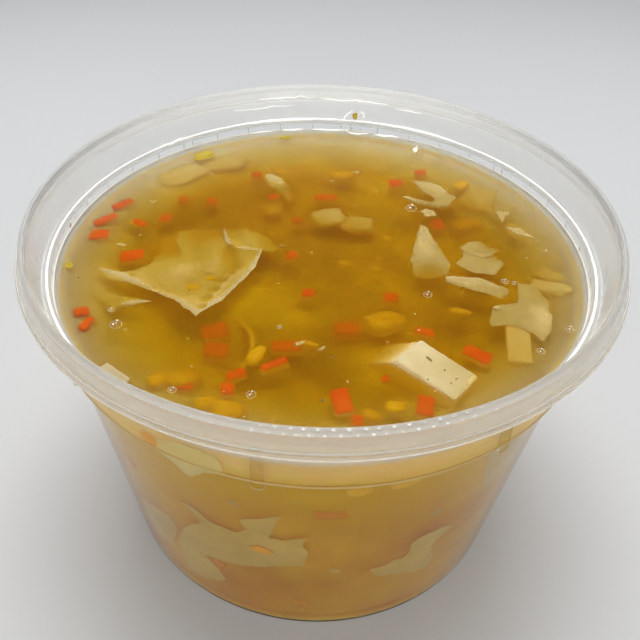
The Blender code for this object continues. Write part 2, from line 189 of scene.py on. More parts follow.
class Finish:
    """A material under construction: its node tree with short ways to add to it."""

    def __init__(self, name):
        self.material = bpy.data.materials.new(name)
        self.material.use_nodes = True
        self.tree = self.material.node_tree
        self.shader = self.tree.nodes["Principled BSDF"]
        self.output = self.tree.nodes["Material Output"]
        self.where = self.node("ShaderNodeTexCoord").outputs["Object"]

    def feed(self, socket, value):
        """Links a socket to another one, or sets it. A colour may come as three numbers."""
        if isinstance(value, bpy.types.NodeSocket):
            self.tree.links.new(value, socket)
        elif socket.type == "RGBA" and len(value) == 3:
            socket.default_value = (*value, 1)
        else:
            socket.default_value = value

    def node(self, kind, sockets=None, **values):
        """A new node with its values, and its sockets by name or number."""
        made = self.tree.nodes.new(kind)
        for name, value in values.items():
            setattr(made, name, value)
        for key, value in (sockets or {}).items():
            self.feed(made.inputs[key], value)
        return made

    def put(self, **values):
        """Feeds the shader's sockets, given by name with _ for a space."""
        for name, value in values.items():
            self.feed(self.shader.inputs[name.replace("_", " ")], value)

    def noise(self, scale, detail=3.0):
        values = {"Vector": self.where, "Scale": scale, "Detail": detail, "Roughness": 0.55}
        return self.node("ShaderNodeTexNoise", values).outputs["Fac"]

    def ranged(self, source, low, high, to_low=0.0, to_high=1.0):
        values = {"Value": source, "From Min": low, "From Max": high, "To Min": to_low, "To Max": to_high}
        return self.node("ShaderNodeMapRange", values).outputs["Result"]

    def mixed(self, share, first, second):
        """A colour between two, each three numbers or a socket."""
        return self.node("ShaderNodeMix", {0: share, 6: first, 7: second}, data_type="RGBA").outputs[2]

    def fade(self, source, low, high, first, second):
        """A colour that turns from the first to the second as the source goes from low to high."""
        return self.mixed(self.ranged(source, low, high), first, second)

    def patches(self, scale, detail):
        """Soft-edged patches, from 0 to 1."""
        return self.ranged(self.noise(scale, detail), 0.3, 0.7)

    def axis(self, name):
        """One coordinate of the place. Z is the height above the floor."""
        return self.node("ShaderNodeSeparateXYZ", {0: self.where}).outputs[name]

    def join(self, how, first, second):
        """The sum, product or the like of two numbers, each a socket or a value."""
        return self.node("ShaderNodeMath", {0: first, 1: second}, operation=how).outputs[0]

    def axis_distance(self):
        flat = self.node("ShaderNodeVectorMath", {0: self.where, 1: (1, 1, 0)}, operation="MULTIPLY")
        far = self.node("ShaderNodeVectorMath", {0: flat.outputs[0]}, operation="LENGTH")
        return far.outputs["Value"]

    def glow(self, colour, strength=1.0):
        """Light of the piece's own, which lights nothing else."""
        self.put(Emission_Color=colour, Emission_Strength=strength)
        self.material.cycles.emission_sampling = "NONE"

    def hazed(self, own, fade_depth, most=0.95, clear_top=0.0):
        """The colour of a piece, lost in the broth's haze with its distance from surface or wall. The haze
        is painted light, a glow, which steep flanks under the surface also get in place of their shade.
        """
        z, far = self.axis("Z"), self.axis_distance()
        from_top = self.ranged(z, SOUP_Z + 0.2 * MM - clear_top, SOUP_Z - fade_depth, 0.0, most)
        slope = (UNDER_STEP_R - BASE_R) / STEP_Z
        wall = self.join("ADD", self.join("MULTIPLY", z, slope), BASE_R - WALL)
        gap = self.join("SUBTRACT", wall, far)
        from_wall = self.ranged(gap, 0.6 * MM, 4.0 * MM, 0.0, most)
        # Painted light: steep flanks under the surface take more of the glow, in place of the shade on their
        # sides.
        normal = self.node("ShaderNodeNewGeometry").outputs["Normal"]
        upward = self.node("ShaderNodeSeparateXYZ", {0: normal}).outputs["Z"]
        steep = self.ranged(upward, 0.85, 0.1, 0.0, 0.8)
        inland = self.ranged(gap, 3.0 * MM, 6.0 * MM)
        under = self.ranged(z, SOUP_Z - 0.2 * MM, SOUP_Z - 1.6 * MM)
        flank_painted_light = self.join("MULTIPLY", steep, self.join("MULTIPLY", inland, under))
        share = self.join("MAXIMUM", self.join("MINIMUM", from_top, from_wall), flank_painted_light)
        above = self.fade(far, 40.0 * MM, 49.0 * MM, GLOW_ABOVE, GLOW_RIM)
        self.glow(self.fade(z, STEP_Z, STEP_Z - 6.0 * MM, above, GLOW_ASIDE), share)
        return self.mixed(share, own, LOST)

    def bump(self, source, distance):
        values = {"Height": source, "Distance": distance, "Strength": 1.0}
        self.put(Normal=self.node("ShaderNodeBump", values).outputs["Normal"])

    def blend(self, share, first, second):
        """The surface between two, the second given by its node."""
        return self.node("ShaderNodeMixShader", {0: share, 1: first, 2: second.outputs[0]}).outputs[0]

    def clear_to_light(self, share=1.0, milk=0.0):
        """Lets the lamps shine through onto what lies behind. Milk glows with light from behind."""
        surface = self.shader.outputs[0]
        if milk:
            milky = self.node("ShaderNodeBsdfTranslucent", {"Color": (0.95, 0.95, 0.93)})
            surface = self.blend(milk, surface, milky)
        shadow = self.node("ShaderNodeLightPath").outputs["Is Shadow Ray"]
        clear = self.node("ShaderNodeBsdfTransparent")
        surface = self.blend(self.join("MULTIPLY", shadow, share), surface, clear)
        self.feed(self.output.inputs["Surface"], surface)


def tub_finish(
    name, clearness, roughness, milk=0.0, gloss=1.0, soup_light_share=0.0, ior=1.47, tint=(0.76, 0.64, 0.44), glow=None
):
    """The plastic. Its front takes on the soup's tint as far as the share given for it: painted light of the
    soup shining out through the plastic.
    """
    finish = Finish(name)
    cloud = finish.mixed(finish.noise(90, 2.0), (0.93, 0.93, 0.92), (0.98, 0.98, 0.97))
    # Painted light: the front of the plastic is tinted with the soup's colour, as if lit from within.
    front = finish.ranged(finish.axis("Y"), -14.0 * MM, -RIM_R, 0.0, soup_light_share)
    finish.put(Base_Color=finish.mixed(front, cloud, tint), Roughness=roughness, IOR=ior)
    finish.put(Transmission_Weight=clearness, Specular_Tint=(gloss, gloss, gloss))
    finish.bump(finish.noise(260, 2.0), 0.06 * MM)
    finish.clear_to_light(LET_THROUGH, milk)
    if glow:
        finish.glow(glow)
    return finish.material


def broth_finish():
    finish = Finish("broth_liquid")
    blur = finish.ranged(finish.axis("Z"), SOUP_Z - 0.8 * MM, SOUP_Z - 0.1 * MM, 0.04, 0.32)
    finish.put(Base_Color=(1, 1, 1), IOR=BROTH_IOR, Roughness=blur)
    finish.put(Transmission_Weight=1.0, Specular_Tint=(0.05, 0.05, 0.05))
    finish.put(Coat_Weight=0.1, Coat_Roughness=0.02, Coat_IOR=1.33)
    finish.bump(finish.noise(70, 2.0), 0.35 * MM)
    absorb = finish.node("ShaderNodeVolumeAbsorption", {"Color": (0.89, 0.80, 0.0), "Density": 200})
    finish.feed(finish.output.inputs["Volume"], absorb.outputs[0])
    finish.clear_to_light()
    return finish.material


def murk_finish():
    """Deep gold from above, browner down the sides, and pale close to the wall at the top. Painted light:
    pale near the wall for light that comes in through it, and lighter at the back and low in the band to
    lift the shade there.
    """
    finish = Finish("broth_murk")
    z, far, back = finish.axis("Z"), finish.axis_distance(), finish.axis("Y")
    broad = finish.ranged(finish.noise(45, 2.0), 0.35, 0.65)
    fine = finish.ranged(finish.noise(160, 4.0), 0.3, 0.7, 0.0, 0.3)
    deep = finish.mixed(broad, (0.53, 0.355, 0.0), (0.68, 0.49, 0.0))
    deep = finish.mixed(fine, deep, (0.48, 0.305, 0.0))
    # Painted light: lighter towards the back, lifting the shade on the back slope.
    deep = finish.fade(back, 18.0 * MM, 36.0 * MM, deep, (0.70, 0.50, 0.03))
    side = finish.mixed(broad, (0.63, 0.305, 0.0), (0.74, 0.44, 0.03))
    side = finish.mixed(fine, side, (0.57, 0.26, 0.0))
    side = finish.fade(z, 34.0 * MM, 52.0 * MM, side, (0.76, 0.47, 0.01))
    # Painted light that comes in through the wall: pale near it, palest at the very edge.
    rim = finish.fade(back, 0.0, 45.0 * MM, (0.42, 0.33, 0.27), (0.53, 0.48, 0.51))
    rim = finish.fade(far, 50.0 * MM, 52.0 * MM, rim, (0.48, 0.47, 0.60))
    own = finish.fade(far, 37.0 * MM, 50.5 * MM, deep, rim)
    under_step = finish.ranged(z, STEP_Z - 1.5 * MM, STEP_Z - 3.0 * MM)
    at_side = finish.join(
        "MULTIPLY", finish.ranged(far, 47.0 * MM, 48.0 * MM), finish.ranged(z, 63.5 * MM, 61.5 * MM)
    )
    own = finish.mixed(finish.join("MAXIMUM", under_step, at_side), own, side)
    outermost = finish.ranged(far, 50.5 * MM, 51.5 * MM)
    upright = finish.ranged(z, SOUP_Z - 1.0 * MM, SOUP_Z - 2.2 * MM)
    # Painted light: the band lighter low down, lifting the shade under the rim.
    band = finish.fade(z, STEP_Z + 6.0 * MM, STEP_Z + 1.0 * MM, (0.62, 0.49, 0.27), (0.90, 0.66, 0.16))
    own = finish.mixed(finish.join("MULTIPLY", outermost, upright), own, band)
    finish.put(Base_Color=own, Roughness=0.9, Specular_IOR_Level=0.0)
    finish.put(Subsurface_Weight=1.0, Subsurface_Radius=(1.0, 0.7, 0.3), Subsurface_Scale=7.0 * MM)
    return finish.material


def soup_finish(name, light, dark, scale, fade_depth, roughness=0.45, aside=None):
    """A piece in the soup: two tints in patches, another low at the wall. The haze hides it at the
    fade depth, in mm."""
    finish = Finish(name)
    own = finish.mixed(finish.patches(scale, 4.0), dark, light)
    if aside:
        own = finish.fade(finish.axis("Z"), STEP_Z, STEP_Z - 3.0 * MM, own, aside)
    finish.put(Base_Color=finish.hazed(own, fade_depth * MM))
    finish.put(Roughness=roughness, Specular_IOR_Level=0.03)
    finish.bump(finish.noise(scale * 2.5), 0.1 * MM)
    finish.clear_to_light(LET_THROUGH)
    return finish.material


def egg_finish():
    """Cooked egg: paler where it stands out of the broth, golden where the broth covers it. The pale part is
    dry egg and painted highlight on its raised edges.
    """
    finish = Finish("egg")
    z, patches = finish.axis("Z"), finish.patches(140, 5.0)
    left = finish.mixed(patches, (0.41, 0.26, 0.02), (0.50, 0.335, 0.05))
    right = finish.mixed(patches, (0.41, 0.29, 0.08), (0.49, 0.36, 0.13))
    wet = finish.fade(finish.axis("X"), 0.0, 15.0 * MM, left, right)
    # Dry egg, lightened by painted highlight on the raised edges that stand out of the broth.
    dry_and_highlit = finish.mixed(patches, (0.60, 0.42, 0.14), (0.70, 0.53, 0.22))
    low = finish.mixed(patches, (0.58, 0.385, 0.10), (0.70, 0.485, 0.17))
    own = finish.fade(z, SOUP_Z - 0.3 * MM, SOUP_Z + 0.2 * MM, wet, dry_and_highlit)
    own = finish.fade(z, SOUP_Z - 5.0 * MM, SOUP_Z - 10.0 * MM, own, low)
    finish.put(Base_Color=finish.hazed(own, 3.4 * MM, 0.97, 0.8 * MM))
    finish.put(Roughness=0.4, Specular_IOR_Level=0.06)
    finish.bump(finish.noise(420, 4.0), 0.12 * MM)
    finish.clear_to_light(0.92)
    return finish.material


def tofu_finish():
    """Tofu: near white at its high end, golden towards the low end, lost in the haze below."""
    finish = Finish("tofu")
    across, patches = finish.axis("X"), finish.patches(260, 4.0)
    pale = finish.mixed(patches, (0.78, 0.61, 0.28), (0.88, 0.72, 0.38))
    golden = finish.mixed(patches, (0.62, 0.46, 0.16), (0.72, 0.54, 0.22))
    left = finish.mixed(patches, (0.58, 0.45, 0.23), (0.68, 0.55, 0.31))
    own = finish.fade(across, 19.0 * MM, 27.0 * MM, pale, golden)
    own = finish.fade(across, -10.0 * MM, -20.0 * MM, own, left)
    finish.put(Base_Color=finish.hazed(own, 8.5 * MM), Roughness=0.5, Specular_IOR_Level=0.1)
    finish.bump(finish.noise(650), 0.12 * MM)
    finish.clear_to_light(LET_THROUGH)
    return finish.material


def two_tone(name, first, second, scale, detail=3.0, **values):
    """A plain finish with a soft change between two tints."""
    finish = Finish(name)
    finish.put(Base_Color=finish.mixed(finish.noise(scale, detail), first, second), **values)
    return finish


def line_finish(name, light, dark, roughness, glow=0.0):
    """A thin line of painted highlight, or of painted shade where its tints are dark. Glow stands in for the
    lamp's glint on a wet edge.
    """
    finish = two_tone(name, light, dark, 120, Roughness=roughness, Specular_IOR_Level=0.3)
    finish.glow((1, 1, 0.97), glow)
    return finish.material


# ---------------------------------------------------------------- making meshes


def new_piece(name, bm, material, slot, node_names=(), sharp=180, lamps=SOUP):
    """The finished body as a piece. Edges steeper than sharp, in degrees, stay crisp."""
    bmesh.ops.recalc_face_normals(bm, faces=bm.faces)
    mesh = bpy.data.meshes.new(name)
    bm.to_mesh(mesh)
    bm.free()
    mesh.materials.append(material)
    mesh.shade_smooth()
    mesh.set_sharp_from_angle(angle=math.radians(sharp))
    piece = bpy.data.objects.new(name, mesh)
    bpy.context.scene.collection.objects.link(piece)
    if lamps:
        lamps.objects.link(piece)
    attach(piece, "root")
    if node_names:
        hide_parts(*node_names)
    return piece


def softened(profile, radius, segments=3):
    """The profile with each corner between its ends made round."""
    points = [Vector(point) for point in profile]
    made = [points[0]]
    for before, corner, after in zip(points, points[1:], points[2:]):
        to_before, to_after = before - corner, after - corner
        half = to_before.angle(to_after) / 2
        nearly_straight = math.radians(86)
        if half > nearly_straight:
            made.append(corner)
            continue
        reach = min(radius / math.tan(half), to_before.length * 0.45, to_after.length * 0.45)
        start = corner + to_before.normalized() * reach
        end = corner + to_after.normalized() * reach
        for index in range(segments + 1):
            share = index / segments
            made.append(start.lerp(corner, share).lerp(corner.lerp(end, share), share))
    made.append(points[-1])
    return made


def turned(profile, angles, radius_at=None):
    """A body of revolution. Points on the axis become one vertex."""
    bm = bmesh.new()
    rings = []
    for r, z in profile:
        if r < 1e-7:
            rings.append([bm.verts.new((0, 0, z))])
            continue
        ring = []
        for angle in angles:
            reach = radius_at(r, z, angle) if radius_at else r
            ring.append(bm.verts.new((reach * math.sin(angle), reach * math.cos(angle), z)))
        rings.append(ring)
    for upper, lower in zip(rings, rings[1:]):
        for i in range(max(len(upper), len(lower))):
            corners = []
            for ring, place in ((upper, i), (upper, i + 1), (lower, i + 1), (lower, i)):
                vert = ring[place % len(ring)]
                if vert not in corners:
                    corners.append(vert)
            bm.faces.new(corners)
    bmesh.ops.recalc_face_normals(bm, faces=bm.faces)
    return bm


def skin(bm, rings, closed=False):
    """Faces between rings of vertices. An open row of rings has its two ends shut."""
    for ring, after in zip(rings, rings[1:] + rings[:1] if closed else rings[1:]):
        for i, vert in enumerate(ring):
            j = (i + 1) % len(ring)
            bm.faces.new((vert, ring[j], after[j], after[i]))
    if not closed:
        bm.faces.new(rings[0])
        bm.faces.new(rings[-1])


def even_angles(count):
    return [math.tau * i / count for i in range(count)]


def ring_of(bm, at, radius, thick, tall, count=180):
    """A thin closed ring round a place."""
    profile = [(radius + thick * math.cos(a), tall * math.sin(a)) for a in even_angles(8)]
    rings = []
    for angle in even_angles(count):
        out = Vector((math.sin(angle), math.cos(angle), 0))
        rings.append([bm.verts.new(at + out * r + Vector((0, 0, rise))) for r, rise in profile])
    skin(bm, rings, closed=True)


def add_tube(bm, points, radius):
    """A thin round body along points, tapered to both ends."""
    points = list(points)
    rings = []
    for index, point in enumerate(points):
        before, after = points[max(0, index - 1)], points[min(len(points) - 1, index + 1)]
        along = (after - before).normalized()
        side = along.cross(Vector((0, 0, 1))) if abs(along.z) < 0.9 else along.cross(Vector((0, 1, 0)))
        side.normalize()
        over = side.cross(along)
        thick = radius * (0.35 + 0.65 * math.sin(math.pi * index / (len(points) - 1)))
        rings.append([
            bm.verts.new(point + (side * math.cos(a) + over * math.sin(a)) * thick) for a in even_angles(6)
        ])
    skin(bm, rings)


def squared(c, square):
    """A coordinate of a ball 1 across, moved out towards the corners where square is under 1."""
    return math.copysign(abs(2 * c) ** square / 2, c)


def add_blob(bm, place, size, rough, shift=(0, 0, 0), waves=3.0, fine=3, square=1.0, flat=False):
    """An uneven rounded body, size in mm. Square under 1 fills its corners, and flat keeps it even."""
    made = bmesh.ops.create_icosphere(bm, subdivisions=fine, radius=0.5)["verts"]
    for vert in made:
        swell = 1 + rough * noise.noise(vert.co * waves + Vector(shift))
        swells = (swell, swell, 1 if flat else swell)
        full = [squared(c, square) for c in vert.co]
        vert.co = Vector([c * length * more for c, length, more in zip(full, size, swells)]) * MM
    bmesh.ops.transform(bm, matrix=place, verts=made)


def wall_r(z):
    """Outer radius of the tapered wall below the stacking step."""
    return BASE_R + (UNDER_STEP_R - BASE_R) * z / STEP_Z


def inner_face(z):
    """The inside of the wall at any height up to the band's top."""
    share = min(1, max(0, (z - STEP_Z + 0.6 * MM) / (1.1 * MM)))
    under = wall_r(min(z, STEP_Z)) - WALL
    return under + (BAND_R - WALL - under) * share


def at_front(turn, across, r, z):
    """A place on the tub: turn from the front in degrees, then metres across, out and up."""
    return Matrix.Rotation(math.radians(turn), 3, "Z") @ Vector((across, -r, z))


def at_back(turn, r, z):
    """A place in the tub: turn from the back in degrees, radius and height in mm."""
    angle = math.radians(turn)
    return Vector((math.sin(angle) * r, math.cos(angle) * r, z)) * MM


def at_soup(x, y, rise=0.0):
    """A place in mm over the middle of the soup's surface."""
    return Vector((x * MM, y * MM, SOUP_Z + rise * MM))


def sunk(x, y, depth):
    """The place at a depth in mm that shows at the surface point x, y in mm from the camera."""
    ray = (at_soup(x, y) - CAMERA_AT).normalized()
    bend = 1 / BROTH_IOR
    steep = -ray.z
    below = math.sqrt(1 - bend * bend * (1 - steep * steep))
    ray = ray * bend + Vector((0, 0, bend * steep - below))
    return at_soup(x, y) + ray * (depth * MM / -ray.z)


def placed(at, about_x, about_y, about_z):
    """A move to a place after turns in degrees about the three axes."""
    place = Matrix.Translation(at)
    for angle, axis in ((about_z, "Z"), (about_y, "Y"), (about_x, "X")):
        place @= Matrix.Rotation(math.radians(angle), 4, axis)
    return place


# ---------------------------------------------------------------- the tub


def tub_inside():
    band = BAND_R - WALL
    shoulder = (wall_r(STEP_Z) - WALL, STEP_Z - 0.6 * MM)
    corner = (wall_r(FLOOR) - WALL, FLOOR)
    return [
        (0, FLOOR),
        (corner[0] - CORNER_R, FLOOR),
        corner,
        shoulder,
        (band - 0.1 * MM, STEP_Z + 0.5 * MM),
        (band, RIB_FOOT_Z - 0.2 * MM),
        (band, RIB_FOOT_Z + 0.2 * MM),
        (band, RIB_TOP_Z - 0.3 * MM),
        (band, RIB_TOP_Z),
        (band, LEDGE_Z - 0.1 * MM),
        (COLLAR_FOOT_R, LEDGE_Z + 0.1 * MM),
        (COLLAR_TOP_R, TUB_H - 0.6 * MM),
        (COLLAR_TOP_R + 0.4 * MM, TUB_H),
    ]


def tub_outside():
    return [
        (COLLAR_TOP_R + 0.9 * MM, TUB_H - 0.15 * MM),
        (COLLAR_TOP_R + 1.1 * MM, TUB_H - 0.5 * MM),
        (COLLAR_TOP_R + 1.27 * MM, TUB_H - 1.2 * MM),
        (RIM_R - 0.6 * MM, BEAD_Z + 1.25 * MM),
        (RIM_R - 0.38 * MM, BEAD_Z + 1.1 * MM),
        (RIM_R - 0.45 * MM, BEAD_Z + 0.85 * MM),
        (RIM_R - 0.05 * MM, BEAD_Z + 0.4 * MM),
        (RIM_R, BEAD_Z),
        (RIM_R - 0.2 * MM, BEAD_Z - 0.3 * MM),
        (RIM_R - 0.9 * MM, BEAD_Z - 0.2 * MM),
        (COLLAR_TOP_R + 0.8 * MM, TUB_H - 2.1 * MM),
        (COLLAR_TOP_R + 0.3 * MM, TUB_H - 1.6 * MM),
        (COLLAR_FOOT_R + 0.9 * MM, LEDGE_Z + 0.3 * MM),
        (COLLAR_FOOT_R, LEDGE_Z - 0.8 * MM),
        (BAND_R + 0.2 * MM, LEDGE_Z - 1.3 * MM),
        (BAND_R + 0.2 * MM, LEDGE_Z - 5.3 * MM),
        (BAND_R, LEDGE_Z - 5.6 * MM),
        (BAND_R, STEP_Z + 0.6 * MM),
        (UNDER_STEP_R, STEP_Z),
        (BASE_R + 0.3 * MM, CORNER_R),
        (BASE_R - CORNER_R, 0),
        (0, 0),
    ]


def rib_columns():
    """The angles of the tub's columns of faces, each with how far a rib stands out there."""
    columns = []
    between = 5
    for index in range(RIBS):
        middle = FIRST_RIB + math.tau * index / RIBS
        width = WIDE_WIDTH if index % WIDE_EVERY == 0 else RIB_WIDTH
        half = width / 2 / (BAND_R - WALL)
        slope = 0.12 * MM / BAND_R
        columns += [(middle - half - slope, 0), (middle - half, 1), (middle + half, 1)]
        columns.append((middle + half + slope, 0))
        room = math.tau / RIBS - 2 * (half + slope)
        for step in range(1, between + 1):
            columns.append((middle + half + slope + room * step / (between + 1), 0))
    return columns


def make_tub():
    profile = softened(tub_inside() + tub_outside(), 0.25 * MM)
    columns = rib_columns()
    rib_at = {angle: rib for angle, rib in columns}
    band = BAND_R - WALL

    def radius_at(r, z, angle):
        on_band = abs(r - band) < 0.05 * MM and RIB_FOOT_Z <= z <= RIB_TOP_Z - 0.2 * MM
        towards_back = min(1, max(0.06, 0.15 + 1.2 * math.cos(angle)))
        return r - RIB_DEPTH * rib_at[angle] * towards_back if on_band else r

    bm = turned(profile, [angle for angle, _ in columns], radius_at)
    wall = tub_finish("clear_wall", 1.0, 0.07, gloss=0, ior=1.37)
    tub = new_piece("tub", bm, wall, "tub_plastic", ["container"], 50, PLASTIC)
    # The step's faces are opaque, tinted gold and given a glow: painted light of the soup that the clear
    # wall would pass on to them.
    step_painted_tint, step_glow = (0.66, 0.46, 0.16), (0.42, 0.27, 0.09)
    for finish in (
        tub_finish("frosted_collar", 0.92, 0.16, milk=0.15, soup_light_share=0.75),
        # Milkier edges, which paint pale highlight lines on the lip, crease, bead and ledge.
        tub_finish("moulded_edge_highlight", 0.40, 0.2, milk=0.6, soup_light_share=0.75),
        tub_finish(
            "moulded_step", 0.0, 0.4, milk=0.2, gloss=0.2, soup_light_share=1.0, tint=step_painted_tint, glow=step_glow
        ),
    ):
        tub.data.materials.append(finish)
    wall_part, collar_part, highlight_edge_part, step_part = range(4)
    for face in tub.data.polygons:
        z = face.center.z
        reach = math.hypot(face.center.x, face.center.y)
        lip_top = z > TUB_H - 0.35 * MM
        lip_bend = z > TUB_H - 1.1 * MM and reach > COLLAR_TOP_R + 0.95 * MM
        crease = BEAD_Z + 0.8 * MM < z < BEAD_Z + 1.2 * MM and reach > RIM_R - 1.0 * MM
        bead = BEAD_Z - 0.3 * MM < z < BEAD_Z + 0.3 * MM and reach > RIM_R - 0.3 * MM
        ledge = LEDGE_Z - 0.35 * MM < z < LEDGE_Z + 0.3 * MM and reach < COLLAR_FOOT_R + 0.1 * MM
        step = STEP_Z - 0.05 * MM < z < STEP_Z + 0.62 * MM and reach > UNDER_STEP_R - 0.05 * MM
        collar_foot = LEDGE_Z - (1.7 if reach > BAND_R - 0.3 * MM else 0.6) * MM
        # Painted highlights: the lip, crease, bead and ledge take the milkier edge finish.
        if lip_top or lip_bend or crease or bead or ledge:
            face.material_index = highlight_edge_part
        elif step:
            face.material_index = step_part
        else:
            face.material_index = collar_part if z > collar_foot else wall_part


# Pips along the front of the lip: turns from the front in degrees, and width in mm.
PIPS = [
    (-34.0, 0.4), (-31.6, 0.4), (-30.5, 0.4), (-28.6, 0.5), (-26.9, 0.5), (-24.6, 0.4), (-22.4, 0.4),
    (-20.0, 0.4), (-17.8, 0.5), (-16.0, 0.4), (-14.6, 0.5), (-11.6, 0.4), (-8.6, 0.6), (-7.4, 0.5),
    (-6.4, 0.5), (-5.4, 0.6), (-4.2, 0.5), (-3.2, 0.7), (-2.4, 0.6), (-1.4, 0.8), (-0.6, 0.7), (0.6, 0.8),
    (1.6, 0.7), (2.8, 0.8), (3.8, 0.7), (5.0, 0.9), (6.2, 0.5), (7.4, 0.8), (8.4, 0.8), (9.2, 0.7),
    (10.2, 0.6), (11.4, 0.8), (12.6, 0.6), (13.6, 0.8), (14.8, 0.8), (15.9, 0.6), (17.0, 0.5),
    (18.2, 0.7), (19.2, 0.7), (20.3, 0.6), (21.4, 0.5), (22.4, 0.6), (23.4, 0.6), (25.0, 0.5), (27.0, 0.5),
]


def make_pips():
    """Small pips in two rows on the lip, opaque and near white on the clear plastic: painted highlight dots,
    which also catch the light on their coat.
    """
    bm = bmesh.new()
    for index, (turn, width) in enumerate(PIPS):
        out, down = (0.8, 0.24) if index % 2 else (1.45, 0.74)
        place = Matrix.Translation(at_front(turn, 0, COLLAR_TOP_R + out * MM, TUB_H - down * MM))
        place @= Matrix.Rotation(math.radians(turn), 4, "Z") @ Matrix.Diagonal((1.0, 0.7, 0.45, 1))
        bmesh.ops.create_icosphere(bm, subdivisions=2, radius=width * 0.44 * MM, matrix=place)
    finish = two_tone(
        "pips", (0.94, 0.92, 0.88), (1.0, 0.99, 0.96), 900, 2.0, Roughness=0.2, Coat_Weight=1.0,
        Coat_Roughness=0.03,
    )
    new_piece("lip_pips", bm, finish.material, "tub_plastic", lamps=PLASTIC)


# Flat lugs outside the ribbed band, in degrees from the front.
LUG_TURNS = [-9.2 + 45 * index for index in range(8)]


def make_lugs():
    """Flat stacking lugs on the band's outside, each with a round foot just under the step."""
    bm, edges = bmesh.new(), bmesh.new()
    half, foot_top, foot_tall = 1.2 * MM, STEP_Z + 0.6 * MM, 1.3 * MM
    near, far = BAND_R - 0.3 * MM, BAND_R + 0.25 * MM
    foot_steps, edge_steps = 7, 12
    for turn in LUG_TURNS:
        rows = [(half, LEDGE_Z - 1.6 * MM), (half, foot_top)]
        for step in range(1, foot_steps):
            bend = math.pi / 2 * step / foot_steps
            rows.append((half * math.cos(bend), foot_top - foot_tall * math.sin(bend)))
        rings = []
        for wide, z in rows:
            corners = (-wide, near), (wide, near), (wide * 0.9, far), (-wide * 0.9, far)
            rings.append([bm.verts.new(at_front(turn, across, r, z)) for across, r in corners])
        skin(bm, rings)
        foot = []
        for step in range(edge_steps + 1):
            bend = math.pi * step / edge_steps
            foot.append(at_front(turn, half * math.cos(bend), far, foot_top - foot_tall * math.sin(bend)))
        add_tube(edges, foot, 0.14 * MM)
        for across in (-half, half):
            low = at_front(turn, across, BAND_R + 0.1 * MM, STEP_Z + 1.0 * MM)
            high = at_front(turn, across, BAND_R + 0.1 * MM, SOUP_Z - 1.0 * MM)
            add_tube(edges, [low, low.lerp(high, 0.5), high], 0.09 * MM)
    # Pale golden tubes along the lugs' edges and feet: painted highlight lines, tinted by the soup behind.
    pale = line_finish("lug_edge", (0.80, 0.60, 0.28), (0.70, 0.51, 0.22), 0.35)
    new_piece("lug_edge_highlights", edges, pale, "tub_plastic", lamps=PLASTIC)
    clear = tub_finish("lug_plastic", 1.0, 0.04, gloss=0, ior=1.05)
    new_piece("tub_lugs", bm, clear, "tub_plastic", sharp=50, lamps=PLASTIC)


# Thin rings that paint highlight lines: radius, height, half their thickness and height in mm, two tints and
# their glow.
LINES = {
    "lip_crease_highlight": (
        RIM_R - 0.42 * MM, BEAD_Z + 1.15 * MM, 0.10, 0.12, (0.86, 0.80, 0.70), (0.78, 0.72, 0.62), 0.0),
    "step_edge_highlight": (
        BAND_R - 0.01 * MM, STEP_Z + 0.80 * MM, 0.07, 0.27, (0.76, 0.54, 0.19), (0.68, 0.47, 0.15), 0.0),
    "wet_line_highlight": (
        BAND_R - WALL - 0.08 * MM, SOUP_Z + 0.60 * MM, 0.22, 0.18,
        (0.94, 0.90, 0.80), (0.84, 0.78, 0.64), 0.0),
    "ledge_highlight": (
        BAND_R - 0.10 * MM, LEDGE_Z + 0.10 * MM, 0.26, 0.16, (1.0, 1.0, 0.97), (0.94, 0.94, 0.90), 0.25),
}


def make_lines():
    """Painted highlights as thin pale rings: on the lip's crease, the edges of the step and the ledge, and
    the line where the soup wets the wall.
    """
    for name, (radius, z, thick, tall, light, dark, glow) in LINES.items():
        bm = bmesh.new()
        ring_of(bm, Vector((0, 0, z)), radius, thick * MM, tall * MM)
        finish = line_finish(name, light, dark, 0.35, glow)
        new_piece(name, bm, finish, "tub_plastic", lamps=PLASTIC)


def arc(turn_from, turn_to, r, z, wave, seed):
    """Points along the inside of the tub's back, which waver a little. Turns run from the back."""
    steps = max(3, round(abs(turn_to - turn_from) * 1.5))
    for step in range(steps + 1):
        turn = turn_from + (turn_to - turn_from) * step / steps
        sway = wave * noise.noise(Vector((turn / 2.4, seed, 0)))
        yield at_back(turn, r + 0.5 * sway, z + sway)


# Painted glints on wet edges inside the back: turns from the back in degrees, radius, height, thickness,
# waver.
GLEAMS = [
    (-36, -27, 53.4, 70.36, 0.20, 0.1), (-26.5, 5, 53.4, 70.40, 0.34, 0.1), (9, 40, 53.4, 70.40, 0.32, 0.1),
    (-11.3, -5.6, 52.25, 68.15, 0.24, 0.1), (-3.1, 6.2, 52.25, 68.1, 0.20, 0.15),
    (14.6, 21, 52.2, 67.95, 0.22, 0.3), (-20, -14, 52.3, 68.15, 0.12, 0.1),
    (-17, -2, 55.9, 75.2, 0.12, 0.5), (-24, -8, 55.2, 73.3, 0.10, 0.5), (-1, 17, 55.7, 74.8, 0.13, 0.4),
    (19, 26, 55.4, 74.1, 0.10, 0.3), (-48, -38, 53.4, 70.4, 0.20, 0.5), (44, 58, 53.4, 70.4, 0.18, 0.2),
]
